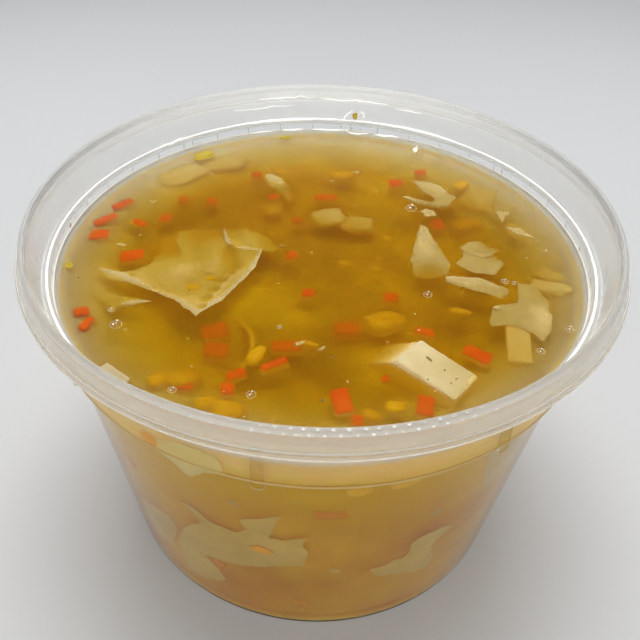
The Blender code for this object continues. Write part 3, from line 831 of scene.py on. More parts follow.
# Painted glints along the edges of a drop above the ledge and of the wet patch under it: turn, radius and
# height.
DROP_EDGES = [
    [(5.4, 53.3, 70.4), (5.8, 53.8, 71.0), (6.6, 54.3, 71.8), (7.8, 54.6, 72.5)],
    [(9.8, 54.6, 72.4), (10.7, 54.5, 72.0), (11.0, 54.3, 71.5), (10.4, 54.0, 71.0)],
    [(6.4, 52.3, 68.5), (7.0, 52.1, 67.85), (8.4, 52.0, 67.6), (10.0, 52.0, 67.6), (11.4, 52.1, 67.8),
     (12.8, 52.2, 68.0)],
]


def make_gleams():
    # White glowing tubes: painted glints.
    bm = bmesh.new()
    for seed, (start, end, r, z, thick, wave) in enumerate(GLEAMS):
        add_tube(bm, arc(start, end, r, z, wave, seed * 7.3), thick * MM)
    for edge in DROP_EDGES:
        add_tube(bm, [at_back(*place) for place in edge], 0.16 * MM)
    finish = line_finish("wet_gleam", (1.0, 1.0, 0.97), (0.92, 0.92, 0.88), 0.2, 0.55)
    new_piece("wet_gleams", bm, finish, "tub_plastic", lamps=PLASTIC)


# Bits of leek: turn from the back in degrees, radius and height, then length, width and thickness.
LEEKS = [
    (8.6, 54.3, 71.3, 1.3, 0.5, 1.7), (-10.6, 49.6, 67.35, 3.0, 1.3, 0.5),
    (-36.0, 48.2, 67.1, 6.0, 3.2, 1.0), (-97.5, 50.1, 67.1, 2.2, 1.6, 0.7),
]


def make_leeks():
    bm = bmesh.new()
    for turn, r, z, length, width, thick in LEEKS:
        add_blob(bm, placed(at_back(turn, r, z), 0, 0, -turn), (length, width, thick), 0.5)
    material = soup_finish("leek", (0.62, 0.47, 0.07), (0.50, 0.36, 0.03), 400, 10.0)
    new_piece("leek_bits", bm, material, "egg")


def make_rib_edges():
    """Painted shade: thin dark lines at the ribs' edges, between the soup and the ledge, at the back, where
    the moulded ribs bend the light away.
    """
    bm = bmesh.new()
    inner, foot_z, top_z = 52.52, 67.9, 69.85
    for index in range(RIBS):
        middle = math.degrees(FIRST_RIB) + 360 * index / RIBS
        if 60 < middle % 360 < 300:
            continue
        wide = index % WIDE_EVERY == 0
        for offset in ((-1.35, 1.35) if wide else (-0.25,)):
            foot, top = (at_back(middle + offset, inner, z) for z in (foot_z, top_z))
            add_tube(bm, [foot, foot.lerp(top, 0.5), top], (0.08 if wide else 0.06) * MM)
    finish = line_finish("rib_edge", (0.52, 0.50, 0.45), (0.36, 0.34, 0.30), 0.4)
    new_piece("rib_edge_shade_lines", bm, finish, "tub_plastic", lamps=PLASTIC)


# ---------------------------------------------------------------- the broth


def make_broth():
    """The clear broth. Its sides reach just into the plastic, and its edge climbs the wall."""
    into = 0.3 * MM
    band = BAND_R - WALL + into
    climb, spread, steps = 0.6 * MM, 1.8 * MM, 8
    profile = [(0, SOUP_Z), (band - spread * 2, SOUP_Z)]
    for step in range(steps + 1):
        share = step / steps
        profile.append((band - spread * (1 - share), SOUP_Z + climb * share**3))
    profile += [
        (band, STEP_Z + 1.0 * MM),
        (BAND_R - WALL - 0.08 * MM, STEP_Z + 0.5 * MM),
        (wall_r(STEP_Z) - WALL + 0.02 * MM, STEP_Z - 0.6 * MM),
        (wall_r(STEP_Z) - WALL + into, STEP_Z - 1.0 * MM),
        (wall_r(FLOOR) - WALL + into, FLOOR + CORNER_R * 0.4),
        (wall_r(FLOOR) - WALL - CORNER_R * 0.7, FLOOR - into),
        (0, FLOOR - into),
    ]
    bm = turned(profile, even_angles(160))
    new_piece("broth_liquid", bm, broth_finish(), "broth", ["broth"], 50, None)


# The hazy depth: how far its middle lies under the surface, its gap to the wall, its rise to the rim,
# which starts at a share of the way out, and its last step up close to the wall.
MURK_DEPTH = 8.0 * MM
MURK_CLEAR = 2.2 * MM
MURK_RISE = 6.2 * MM
MURK_RISE_FROM = 0.58
MURK_LIP = 1.95 * MM
MURK_LIP_WIDTH = 1.2 * MM
# Where the haze comes nearer to the surface: x, y, reach and height in mm.
CLOUDS = [
    (-10.2, -11.2, 7, 2.2), (-3.2, -18.4, 6, 2.6), (13.5, 27.1, 8, 2.2), (11.0, -29.0, 6, 2.2),
    (-13.6, -17.0, 6, 1.9), (-29.0, -33.0, 7, -1.2), (24.0, -16.0, 8, -0.8), (-30.0, 28.0, 8, 0.8),
]


def make_murk():
    """The depth of the soup, where the haze hides all: a lumpy body inside the clear broth."""
    top = SOUP_Z - MURK_DEPTH
    rim = BAND_R - WALL - 0.05 * MM
    upper = wall_r(STEP_Z) - WALL - MURK_CLEAR
    lower = wall_r(FLOOR) - WALL - MURK_CLEAR
    top_steps, side_steps = 48, 24
    profile = []
    for step in range(top_steps + 1):
        r = rim * math.sin(math.pi / 2 * step / top_steps)
        rise = max(0, (r / rim - MURK_RISE_FROM) / (1 - MURK_RISE_FROM))
        at_edge = max(0, 1 - (rim - r) / MURK_LIP_WIDTH)
        profile.append((r, top + MURK_RISE * rise * rise * (3 - 2 * rise) + at_edge * MURK_LIP))
    profile.append((rim - 0.1 * MM, STEP_Z + 0.9 * MM))
    profile.append((wall_r(STEP_Z) - WALL - 1.3 * MM, STEP_Z - 0.3 * MM))
    side_top, side_foot = STEP_Z - 3.0 * MM, FLOOR + 2.6 * MM
    for step in range(side_steps + 1):
        share = step / side_steps
        profile.append((upper + (lower - upper) * share, side_top + (side_foot - side_top) * share))
    profile += [(lower + 1.5 * MM, FLOOR + 1.3 * MM), (lower + 0.6 * MM, FLOOR + 0.2 * MM)]
    profile.append((0, FLOOR + 0.2 * MM))
    bm = turned(profile, even_angles(120))
    bm.normal_update()
    for vert in bm.verts:
        inland = rim - 1.3 * MM - math.hypot(vert.co.x, vert.co.y)
        if inland <= 0:
            continue
        if vert.co.z > FLOOR + 2 * MM:
            room = max(1.2 * min(1, inland / (7 * MM)), 0.3 if vert.co.z < STEP_Z else 0)
            lump = noise.fractal(vert.co / (16 * MM), 0.8, 2.0, 3)
            vert.co += vert.normal * lump * room * MM
        if vert.co.z > top - 2.5 * MM:
            for x, y, reach, rise in CLOUDS:
                away = math.hypot(vert.co.x - x * MM, vert.co.y - y * MM) / (reach * MM)
                vert.co.z += rise * MM * math.exp(-away * away)
    new_piece("broth_murk", bm, murk_finish(), "broth", ["broth"])


# ---------------------------------------------------------------- carrot and corn


def add_dice(bm, place, size, seed):
    """One cut block of carrot with slightly uneven faces and soft edges. Size in mm."""
    made = bmesh.ops.create_cube(bm, size=1)["verts"]
    edges = {edge for vert in made for edge in vert.link_edges}
    draw = random.Random(seed)
    uneven, rounding = 0.09, 0.24 * min(size) * MM
    for vert in made:
        vert.co += Vector([draw.uniform(-uneven, uneven) for _ in range(3)])
        vert.co = Vector([c * length for c, length in zip(vert.co, size)]) * MM
    made = bmesh.ops.bevel(
        bm, geom=list(edges) + made, offset=rounding, segments=3, affect="EDGES", profile=0.6
    )["verts"]
    bmesh.ops.transform(bm, matrix=place, verts=list(set(made)))


def add_kernel(bm, place, size, seed):
    """One corn kernel: round at its crown and narrower at its foot, with a faint dent. Size in mm."""
    made = bmesh.ops.create_uvsphere(bm, u_segments=16, v_segments=10, radius=0.5)["verts"]
    lean = random.Random(seed).uniform(-0.08, 0.08)
    length, width, thick = size
    square, narrowing, dent_depth, dent_reach = 0.8, 0.22, 0.10, 0.05
    for vert in made:
        x, y, z = squared(vert.co.x, square), squared(vert.co.y, square), vert.co.z
        taper = 1 - narrowing * (x + 0.5)
        dent = dent_depth * max(0, 1 - (x * x + y * y) / dent_reach) if z > 0 else 0
        vert.co = Vector((x * length, (y * taper + lean * x) * width, (z * taper - dent) * thick)) * MM
    bmesh.ops.transform(bm, matrix=place, verts=made)


# At the surface, in mm and degrees: x, y, length, width, turn.
CARROTS = [
    (-37.9, -2.8, 4.8, 3.4, 12), (-46.4, 4.6, 4.4, 3.2, -5), (-46.4, 10.2, 5.2, 1.9, 42),
    (-43.8, 16.6, 5.2, 2.2, 38), (17.3, 28.6, 3.4, 3.0, 0), (23.4, 33.6, 2.8, 2.0, 10),
    (4.4, -40.8, 3.4, 5.4, 14), (-6.9, -32.6, 5.2, 1.6, 30), (28.2, -28.6, 5.0, 2.8, -36),
    (-43.8, -20.4, 2.8, 2.4, 20), (-41.9, -23.6, 1.8, 3.6, -20), (-14.4, -39.0, 2.4, 2.6, 0),
]
CORN = [
    (-10.4, -30.3, 5.4, 3.2, 62), (32.2, 28.6, 4.6, 3.4, 50),
    (13.2, -41.4, 3.6, 3.2, 0),
]
# Sunk in the broth: x, y where it shows, depth, length, width, turn.
SUNK_CARROTS = [
    (-13.4, -35.5, 2.6, 3.6, 2.2, 20), (-18.3, -24.4, 6.4, 4.6, 3.8, 10),
    (-17.5, -29.5, 7.0, 4.0, 4.4, 80), (-5.2, -28.1, 6.0, 5.0, 3.2, 5),
    (5.4, -22.9, 7.5, 4.6, 3.6, 0), (13.9, -13.6, 4.0, 2.8, 3.4, 0),
    (6.9, -45.0, 2.6, 1.8, 2.2, 0), (11.9, -35.5, 2.6, 1.4, 1.8, 0),
    (19.5, -23.2, 2.6, 3.8, 1.8, -8), (18.2, -41.3, 2.6, 2.8, 4.4, -10),
    (25.1, 12.0, 4.6, 3.0, 3.4, 20), (-38.6, 9.2, 1.0, 3.6, 1.6, -35),
    (-33.4, 11.4, 3.6, 2.6, 3.0, 0), (-30.8, 18.9, 5.0, 2.2, 2.8, 0),
    (-24.3, 18.5, 5.0, 2.6, 3.4, 0), (1.0, 21.5, 3.6, 4.8, 2.2, 0),
    (-10.6, 21.1, 2.8, 2.4, 2.0, 0), (-5.0, 12.0, 5.4, 2.6, 2.4, 0),
    (-5.6, -1.0, 3.0, 2.2, 2.6, 0), (-1.9, -13.0, 2.2, 2.4, 2.6, 0),
    (-15.1, 30.6, 3.8, 2.6, 2.4, 0), (-22.0, -38.0, 4.0, 3.2, 2.8, 0),
]
SUNK_CORN = [
    (12.6, -19.6, 2.4, 8.4, 7.0, 30), (9.3, -43.5, 3.4, 3.8, 3.2, 0), (26.5, -16.9, 3.6, 4.6, 2.2, -20),
    (31.7, 12.7, 6.4, 7.4, 5.0, 10), (14.2, 6.1, 2.6, 1.8, 2.8, 0), (-1.3, -27.1, 2.6, 3.8, 1.6, -15),
    (4.9, 32.1, 1.2, 6.6, 5.2, 0), (-9.1, 32.3, 1.6, 4.2, 2.6, 0), (-10.3, 15.2, 5.2, 3.4, 3.2, 0),
    (11.4, -4.7, 3.4, 2.4, 2.0, 0), (5.2, -3.0, 3.6, 2.8, 2.0, 0), (-17.6, -41.9, 1.6, 4.6, 3.4, 30),
    (-14.0, -43.2, 2.0, 6.2, 5.0, 0), (-22.4, -36.3, 3.4, 7.0, 5.6, 20),
    (-26.4, -36.8, 2.8, 5.2, 3.8, 60), (-24.2, -12.2, 0.15, 2.8, 2.2, 10),
    (-21.0, -9.4, 0.15, 1.8, 1.4, 5), (-39.9, 9.0, 1.6, 3.4, 1.6, -35),
]
# Close to the wall: turn from the front towards +X in degrees, height in mm, length, width, roll.
WALL_CARROTS = [
    (-30.9, 61.0, 4.6, 3.0, -20), (-47.0, 44.5, 10.0, 2.4, -58), (-24.0, 19.6, 3.4, 2.4, -25),
    (3.8, 47.8, 6.2, 4.4, 4), (-2.0, 9.5, 3.2, 2.4, 0), (-14.4, 4.6, 2.8, 2.0, 10),
]
WALL_CORN = [(18.2, 55.9, 6.6, 4.0, 12), (9.0, 55.0, 5.0, 3.4, 0)]


def strewn(count, seed):
    """Pieces along the sides and the back, which the front's own rows leave bare."""
    draw = random.Random(seed)
    start, sweep = 55, 250
    for index in range(count):
        turn = start + sweep * (index + draw.random()) / count
        size = draw.uniform(2.4, 4.6)
        yield turn, draw.uniform(7, 60), size, size * draw.uniform(0.55, 0.9), draw.uniform(-50, 50)


def add_sunk(add, bm, rows, plump, near, tilt, first_seed):
    """Pieces below the surface. Plump is their thickness to their width, and near eases their depth."""
    for seed, (x, y, depth, length, width, turn) in enumerate(rows, first_seed):
        thick = min(length, width) * plump
        at = sunk(x, y, depth * near) - Vector((0, 0, thick / 2 * MM))
        about_x, about_y = DICE.uniform(-tilt, tilt), DICE.uniform(-tilt, tilt)
        add(bm, placed(at, about_x, about_y, turn), (length, width, thick), seed)


def add_at_wall(add, bm, rows, depth, first_seed):
    """Pieces inside the wall, flat to it and at least a depth in mm from it."""
    lean = math.atan2(UNDER_STEP_R - BASE_R, STEP_Z)
    for seed, (turn, z, length, width, roll) in enumerate(rows, first_seed):
        inner = (wall_r(z * MM) if z * MM < STEP_Z else BAND_R) - WALL
        at = at_front(turn, 0, inner - (depth + 0.3 * width) * MM, z * MM)
        place = placed(at, 90 - math.degrees(lean), 0, turn) @ Matrix.Rotation(math.radians(roll), 4, "Z")
        add(bm, place, (length, width, width * 0.7), seed)


def make_carrots():
    bm = bmesh.new()
    thick = 2.4
    for seed, (x, y, length, width, turn) in enumerate(CARROTS):
        at = sunk(x, y, 1.1) - Vector((0, 0, thick / 2 * MM))
        add_dice(bm, placed(at, 2, -3, turn), (length, width, thick), seed)
    add_sunk(add_dice, bm, SUNK_CARROTS, plump=0.8, near=0.65, tilt=18, first_seed=100)
    add_at_wall(add_dice, bm, [*WALL_CARROTS, *strewn(26, seed=11)], 2.0, first_seed=300)
    light, dark, aside = (0.72, 0.115, 0.0), (0.62, 0.060, 0.0), (0.72, 0.25, 0.0)
    material = soup_finish("carrot", light, dark, 200, 10.5, aside=aside)
    new_piece("carrots", bm, material, "carrot", ["broth"], 60)


def make_corn():
    bm = bmesh.new()
    for seed, (x, y, length, width, turn) in enumerate(CORN):
        add_kernel(bm, placed(at_soup(x, y, -1.1), 0, -4, turn), (length, width, 2.3), seed)
    add_sunk(add_kernel, bm, SUNK_CORN, plump=0.7, near=0.6, tilt=20, first_seed=200)
    add_at_wall(add_kernel, bm, [*WALL_CORN, *strewn(14, seed=12)], 0.9, first_seed=400)
    light, dark, aside = (0.62, 0.35, 0.0), (0.54, 0.27, 0.0), (0.86, 0.52, 0.02)
    material = soup_finish("corn", light, dark, 300, 14.0, 0.3, aside=aside)
    new_piece("corn", bm, material, "corn", ["broth"], 80)


# ---------------------------------------------------------------- egg


SHEETS = {
    "egg_sheet": [
        (-44, -7), (-42, -10.2), (-38.5, -11.2), (-34.5, -12.6), (-30, -15), (-27, -16.5),
        (-22, -21.3), (-20.9, -19.8), (-19.3, -18.0), (-17.6, -16.0), (-16.7, -14.0), (-15.4, -11.5),
        (-13.7, -8.6), (-12.4, -5.2), (-11.9, -2.2), (-11.5, 0.7), (-7, 1.7), (-10.5, 6),
        (-17, 9.5), (-23.5, 10), (-30, 9.5), (-33.5, 6), (-33, 0), (-33.5, -5), (-36.5, -7.5),
        (-40, -7.8),
    ],
    "egg_wing": [(-41.7, -14.6), (-38.7, -19.8), (-35, -18.6), (-31.2, -17.2), (-36, -15.8)],
    "egg_triangle": [(21.5, 11.4), (22.6, 10.8), (26.3, -2.4), (25.6, -5.2), (19, -5.6), (18.6, -1)],
    "egg_leaf": [
        (29.4, 3), (32.7, 5.6), (37.4, -0.8), (34.8, -5.6), (30.3, -4.6), (27.4, -1.6), (29.3, 0.4),
    ],
    "egg_strip": [(24.8, -6.6), (31.6, -6.7), (36.4, -9.6), (36.7, -11), (35, -12.4), (24.8, -8.6)],
    "egg_ragged": [
        (38.9, -8), (42, -7.7), (43.3, -12), (43.4, -18), (42.2, -22.2), (40.3, -24.7),
        (38.5, -22), (35, -20), (31.8, -20.7), (31.7, -18.5), (33.5, -14.6), (37.6, -13.9),
    ],
    "egg_curl": [
        (21.3, 29.4), (27, 28.3), (29, 24.6), (30.4, 22.9), (28.3, 18.8), (24.7, 19.2),
        (21.2, 19.9), (18.2, 22.4), (21.4, 21.5), (25, 21), (25.6, 22.6), (22.6, 26),
    ],
    "egg_oval": [
        (-13.4, 30.4), (-11.7, 31.3), (-9.2, 29.4), (-7.5, 26.6), (-6.4, 21.4), (-8.8, 23.4),
        (-12.9, 27.5),
    ],
}
# Where a sheet dips under the broth: x, y, reach and depth in mm.
DIPS = {
    "egg_sheet": [
        (-8.5, 5, 4.4, 2.4), (-21.5, 11.5, 6, 3.0), (-31, 8, 7, 3.4), (-32.5, 1, 4, 1.8),
        (-18.5, 1.0, 1.4, 1.6), (-17.9, -1.6, 1.8, 1.9), (-17.0, -4.6, 1.6, 1.7),
        (-17.8, -7.2, 1.2, 1.5), (-19.0, -9.6, 1.0, 1.3), (-20.1, -12.6, 0.9, 1.2),
        (-21.0, -15.4, 0.8, 1.2), (-21.3, -18.2, 0.6, 0.9), (-14.6, -1.0, 1.7, 0.35),
        (-24.2, -12.2, 1.9, 0.5), (-21.0, -8.4, 1.2, 0.5), (-38.6, -7.4, 0.8, 0.4),
        (-36.8, -9.4, 0.7, 0.4), (-34.6, -12.4, 0.7, 0.3),
    ],
    "egg_layer": [(-25, 8, 6, 2.2), (-21, 4, 4, 1.0), (-27.6, -3.0, 3.2, 0.22)],
    "egg_triangle": [(22, -6.0, 3.6, 2.6)],
    "egg_leaf": [(37, 3, 4, 1.4), (28, -2.5, 3, 0.6)],
    "egg_leaf_top": [(36, 5, 3, 1.2)],
    "egg_strip": [(36, -12, 3, 0.6)],
    "egg_oval": [(-6.6, 22, 4, 2.4)],
    "egg_ragged": [(42, -9.5, 4, 0.8), (33, -19, 4, 0.6)],
    "egg_wing": [(-40, -19, 3, 1.2)],
    "egg_curl": [(25, 19, 4, 0.9)],
}
# Where a sheet stands out of the broth: points of a line in mm, its reach and its height.
RIDGES = {
    "egg_sheet": [
        ([(-21.8, -21.0), (-20.6, -19.2), (-19.0, -17.4), (-17.4, -15.4), (-16.4, -13.4),
          (-15.0, -11.0), (-13.4, -8.2), (-12.2, -5.0), (-11.8, -2.0), (-11.7, 0.4)], 1.0, 0.75),
        ([(-20.2, -16.4), (-19.0, -12.8), (-17.6, -9.6), (-16.0, -6.8)], 0.8, 0.32),
        ([(-20.4, 7.8), (-19.8, 5.6)], 0.55, 2.5),
        ([(-19.8, 5.6), (-19.4, 4.0), (-18.3, 1.9)], 0.5, 1.9),
        ([(-18.3, 1.9), (-16.0, 0.9), (-12.9, 0.6), (-11.8, 0.5)], 0.5, 0.85),
        ([(-19.4, 7.4), (-16.6, 6.8), (-14.2, 4.6), (-12.6, 1.8)], 1.1, 0.40),
        ([(-43.6, -7.3), (-38.5, -9.3), (-34.6, -11.9)], 0.8, 0.5),
        ([(-34.5, -12.4), (-30, -14.8), (-27, -16.2), (-22.4, -20.4)], 0.9, 0.5),
        ([(-7.9, 1.7), (-7.1, 1.5)], 0.6, 2.2),
    ],
    "egg_layer": [
        ([(-29.0, -6.4), (-27.7, -7.3), (-25.3, -7.2), (-20.8, -7.6)], 0.5, 0.06),
    ],
    "egg_triangle": [([(22.3, 10.6), (21.4, 4), (22.2, -1.5)], 1.7, 0.2)],
    "egg_leaf_top": [([(29.0, 3.1), (30.6, 1.5), (33.0, 0.4), (35, 0.6)], 0.6, 0.25)],
    "egg_strip": [([(25.2, -7.2), (31.4, -7.6), (36.0, -10.2)], 1.0, 0.45)],
    "egg_ragged": [([(40.5, -8.6), (41.2, -13), (41.6, -18), (40.8, -23)], 2.0, 0.14)],
    "egg_curl": [
        ([(21.6, 29.2), (25, 28.6), (28.2, 25.2)], 0.9, 0.45),
        ([(18.8, 22.2), (22.5, 21), (27.6, 19.6)], 0.8, 0.65),
    ],
    "egg_oval": [([(-12.8, 30.2), (-10.6, 28.6), (-8.6, 26.4)], 1.4, 0.4)],
    "egg_wing": [([(-38.4, -18.2), (-34.8, -17.9), (-31.6, -17.3)], 0.8, 0.6)],
}
# A second layer on a sheet: whose it is, and its outline in mm.
LAYERS = {
    "egg_layer": ("egg_sheet", [
        (-29.0, -6.7), (-27.7, -7.6), (-25.3, -7.5), (-20.5, -7.9), (-19.4, -4.2), (-20.0, 1.6),
        (-22.8, 7.0), (-26.7, 9.0), (-29.7, 7.4), (-29.8, 2.9), (-28.2, -0.6), (-28.4, -3.3),
    ]),
    "egg_leaf_top": ("egg_leaf", [
        (28.9, 3.3), (30.5, 1.3), (33.0, 0.0), (34.6, 0.6), (37.2, 3.4), (33.4, 6.2), (31.3, 5.6),
    ]),
}
LAYER_LIFT = 0.06 * MM
SINK = 0.48 * MM
EGG_THICK = 0.5 * MM


def nearest_on(line, spot):
    """The distance from a spot to a line of points."""
    nearest = math.inf
    for a, b in zip(line, line[1:]):
        share = geometry.intersect_point_line(spot, a, b)[1]
        nearest = min(nearest, (spot - a.lerp(b, min(max(share, 0), 1))).length)
    return nearest


def inside(spot, outline):
    crossings = 0
    for a, b in zip(outline, outline[1:] + outline[:1]):
        if (a.y > spot.y) != (b.y > spot.y):
            crossings += spot.x < a.x + (b.x - a.x) * (spot.y - a.y) / (b.y - a.y)
    return crossings % 2 == 1


def ragged(points, step, rough):
    """The outline in metres with points every step, torn a little."""
    outline = [Vector(point) * MM for point in points]
    made = []
    for a, b in zip(outline, outline[1:] + outline[:1]):
        count = max(1, round((b - a).length / step))
        side = Vector((b.y - a.y, a.x - b.x)).normalized()
        for index in range(count):
            spot = a.lerp(b, index / count)
            tear = noise.noise(Vector((spot.x, spot.y, 0)) / (1.7 * MM))
            made.append(spot + side * tear * rough)
    return made


def sheet_body(bm, outline, height, cell, thick=EGG_THICK):
    """A closed thin body over the outline, thinner towards its edge."""
    low = Vector((min(p.x for p in outline), min(p.y for p in outline)))
    high = Vector((max(p.x for p in outline), max(p.y for p in outline)))
    loop = outline + outline[:1]
    row_step = cell * math.sin(math.radians(60))
    edge_share, edge_width = 0.25, 1.2 * MM
    points = [Vector(point) for point in outline]
    for row in range(int((high.y - low.y) / row_step) + 1):
        for column in range(int((high.x - low.x) / cell) + 2):
            spot = low + Vector(((column + 0.5 * (row % 2)) * cell, (row + 0.5) * row_step))
            if inside(spot, outline) and nearest_on(loop, spot) > cell * 0.5:
                points.append(spot)
    rim = list(range(len(outline)))
    made = geometry.delaunay_2d_cdt(points, list(zip(rim, rim[1:] + rim[:1])), [rim], 1, 1e-7)
    upper, lower = [], []
    for point in made[0]:
        half = thick / 2 * min(1, edge_share + nearest_on(loop, point) / edge_width)
        middle = height(point)
        upper.append(bm.verts.new((point.x, point.y, middle + half)))
        lower.append(bm.verts.new((point.x, point.y, middle - half)))
    sides = {}
    for face in made[2]:
        bm.faces.new([upper[i] for i in face])
        bm.faces.new([lower[i] for i in reversed(face)])
        sides.update(dict.fromkeys(zip(face, face[1:] + face[:1])))
    for a, b in sides:
        if (b, a) not in sides:
            bm.faces.new((upper[b], upper[a], lower[a], lower[b]))


def sheet_height(name, lift=0.0):
    """A function for the middle of a sheet's thickness at a point."""
    dips = [(Vector((x, y)) * MM, reach * MM, depth * MM) for x, y, reach, depth in DIPS.get(name, [])]
    ridges = [
        ([Vector(point) * MM for point in line], reach * MM, rise * MM)
        for line, reach, rise in RIDGES.get(name, [])
    ]

    def height(point):
        across = math.sin(math.tau * (point.x + 0.4 * point.y) / (11 * MM))
        along = math.sin(math.tau * (point.y - 0.3 * point.x) / (15.4 * MM) + 1.1)
        ripple = noise.fractal(Vector((point.x, point.y, 0)) / (3.2 * MM), 0.9, 2.0, 3)
        z = SOUP_Z - SINK + lift + 0.05 * MM * (across + along) + 0.07 * MM * ripple
        for at, reach, depth in dips:
            z -= depth * math.exp(-(((point - at).length / reach) ** 2))
        rises = [rise * math.exp(-((nearest_on(line, point) / reach) ** 2)) for line, reach, rise in ridges]
        return z + max(rises, default=0)

    return height


def make_sheets(material):
    for name, points in SHEETS.items():
        bm = bmesh.new()
        sheet_body(bm, ragged(points, 0.8 * MM, 0.35 * MM), sheet_height(name), 0.55 * MM)
        for layer, (owner, edge) in LAYERS.items():
            if owner == name:
                height = sheet_height(layer, LAYER_LIFT)
                sheet_body(bm, ragged(edge, 0.8 * MM, 0.3 * MM), height, 0.75 * MM)
        new_piece(name + "_cooked", bm, material, "egg", [name], 70)


# Sheets close to the wall: outlines of turn from the front in degrees and height in mm.
WALL_SHEETS = [
    [(-31.8, 28.5), (-28.0, 33.2), (-24.9, 36.2), (-22.6, 37.8), (-19.2, 37.5), (-16.4, 37.1),
     (-13.5, 39.7), (-14.7, 40.7), (-14.7, 43.0), (-10.5, 44.7), (-5.9, 47.2), (-6.8, 44.4),
     (-8.3, 40.2), (-8.8, 38.1), (-6.2, 38.0), (-2.9, 39.1), (0.5, 39.9), (-1.4, 38.2),
     (-1.6, 36.1), (-0.3, 33.8), (-1.3, 28.5), (-4.3, 27.6), (-9.0, 26.2), (-14.0, 24.5),
     (-18.7, 23.2), (-23.5, 22.2), (-27.3, 20.7), (-25.4, 19.9), (-23.5, 17.7), (-22.1, 14.0),
     (-24.0, 11.6), (-29.3, 9.2), (-35.0, 7.8), (-36.1, 11.4), (-35.8, 17.2), (-36.3, 18.9)],
    [(-29.9, 40.6), (-26.8, 41.2), (-22.2, 37.8), (-24.4, 36.3), (-27.2, 38.9)],
    [(-17.2, 49.2), (-15.2, 48.7), (-14.4, 47.2), (-16.2, 47.4)],
    [(35.2, 31.8), (32.9, 30.1), (30.8, 29.1), (30.1, 26.7), (32.1, 22.2), (31.9, 18.8),
     (30.7, 16.5), (26.0, 18.5), (21.6, 19.8), (16.0, 22.0), (14.4, 24.9), (18.0, 25.3),
     (20.3, 26.9), (22.9, 26.3), (23.7, 28.4), (23.5, 31.9), (25.2, 33.4), (27.6, 33.8),
     (31.7, 33.8)],
    [(26.2, 40.9), (27.6, 43.1), (29.0, 42.6), (28.0, 40.6)],
    [(4.9, 27.3), (7.0, 26.8), (7.4, 25.4), (5.0, 25.6)],
    [(-49.1, 25.3), (-41.8, 29.3), (-35.6, 31.0), (-34.4, 26.3), (-39.7, 14.8), (-45.6, 13.1),
     (-49.4, 15.6)],
    [(36, 56), (46, 58.5), (52, 52), (49, 42), (42, 40), (38, 48)],
    [(-62, 30), (-55, 40), (-52, 33), (-54, 20), (-60, 16)],
]


def strewn_sheets(count, seed):
    """Torn outlines for the sides and the back."""
    draw = random.Random(seed)
    start, sweep, widen, flatten = 60, 240, 1.5, 0.7
    for index in range(count):
        turn = start + sweep * (index + draw.random()) / count
        z, reach = draw.uniform(12, 56), draw.uniform(3.5, 9)
        corners = draw.randint(5, 8)
        outline = []
        for corner in range(corners):
            angle = math.tau * corner / corners
            far = reach * draw.uniform(0.45, 1.1)
            outline.append((turn + widen * far * math.cos(angle), z + flatten * far * math.sin(angle)))
        yield outline


# Pieces pressed to the wall: outlines of turn from the front in degrees and height in mm.
EGG_AT_WALL = [[
    (-31.2, 58.0), (-29.8, 60.3), (-28.6, 62.2), (-26.0, 64.0), (-23.0, 64.8), (-19.5, 64.8),
    (-16.4, 63.8), (-15.4, 61.2), (-16.6, 59.0), (-18.2, 57.2), (-20.8, 56.2), (-23.6, 53.4),
    (-25.2, 53.6), (-28.0, 55.8),
]]
CARROTS_AT_WALL = [
    [(-32.5, 62.4), (-31.0, 63.4), (-29.6, 63.0), (-28.3, 61.9), (-28.5, 60.6), (-29.9, 60.5),
     (-31.6, 61.0)],
    [(-13.4, 33.6), (-11.4, 34.8), (-9.2, 34.4), (-7.8, 33.0), (-9.6, 32.2), (-12.0, 32.4)],
]


def make_bent(name, slot, material, outlines, thick, gap, wavy, cell):
    """Thin torn bodies bent along the inside of the wall, a gap from it. All measures in mm."""
    bm = bmesh.new()
    for points in outlines:
        flat = [(math.radians(turn) * BASE_R / MM, z) for turn, z in points]
        start = noise.noise(Vector(flat[0]).to_3d() / 9)

        def height(p, start=start):
            return noise.noise(Vector((p.x, p.y, start)) / (9 * MM)) * wavy * MM

        sheet_body(bm, ragged(flat, 1.2 * MM, 0.5 * MM), height, cell * MM, thick * MM)
    for vert in bm.verts:
        angle = vert.co.x / BASE_R
        reach = inner_face(vert.co.y) - gap * MM + vert.co.z
        vert.co = Vector((math.sin(angle) * reach, -math.cos(angle) * reach, vert.co.y))
    new_piece(name, bm, material, slot, sharp=70)


def make_sunk_sheets(material):
    """Egg that shows faintly through the wall, and egg and carrot pressed to it."""
    sheets = [*WALL_SHEETS, *strewn_sheets(16, seed=21)]
    make_bent("egg_sunk", "egg", material, sheets, EGG_THICK / MM, gap=0.9, wavy=0.35, cell=1.3)
    for name, slot, outlines, thick, *tones, glow in (
        ("egg_at_wall", "egg", EGG_AT_WALL, 0.3, (0.36, 0.29, 0.13), (0.30, 0.23, 0.09), (0.24, 0.18, 0.05)),
        ("carrots_at_wall", "carrot", CARROTS_AT_WALL, 0.4,
         (0.42, 0.19, 0.02), (0.36, 0.16, 0.01), (0.26, 0.12, 0.003)),
    ):
        # The glow stands in for the light that the milky wall passes on to what touches it.
        finish = two_tone(name, *tones, 300, Roughness=0.6, Specular_IOR_Level=0.1)
        finish.glow(glow)
        make_bent(name, slot, finish.material, outlines, thick, gap=0.2 * thick, wavy=0.0, cell=0.8)


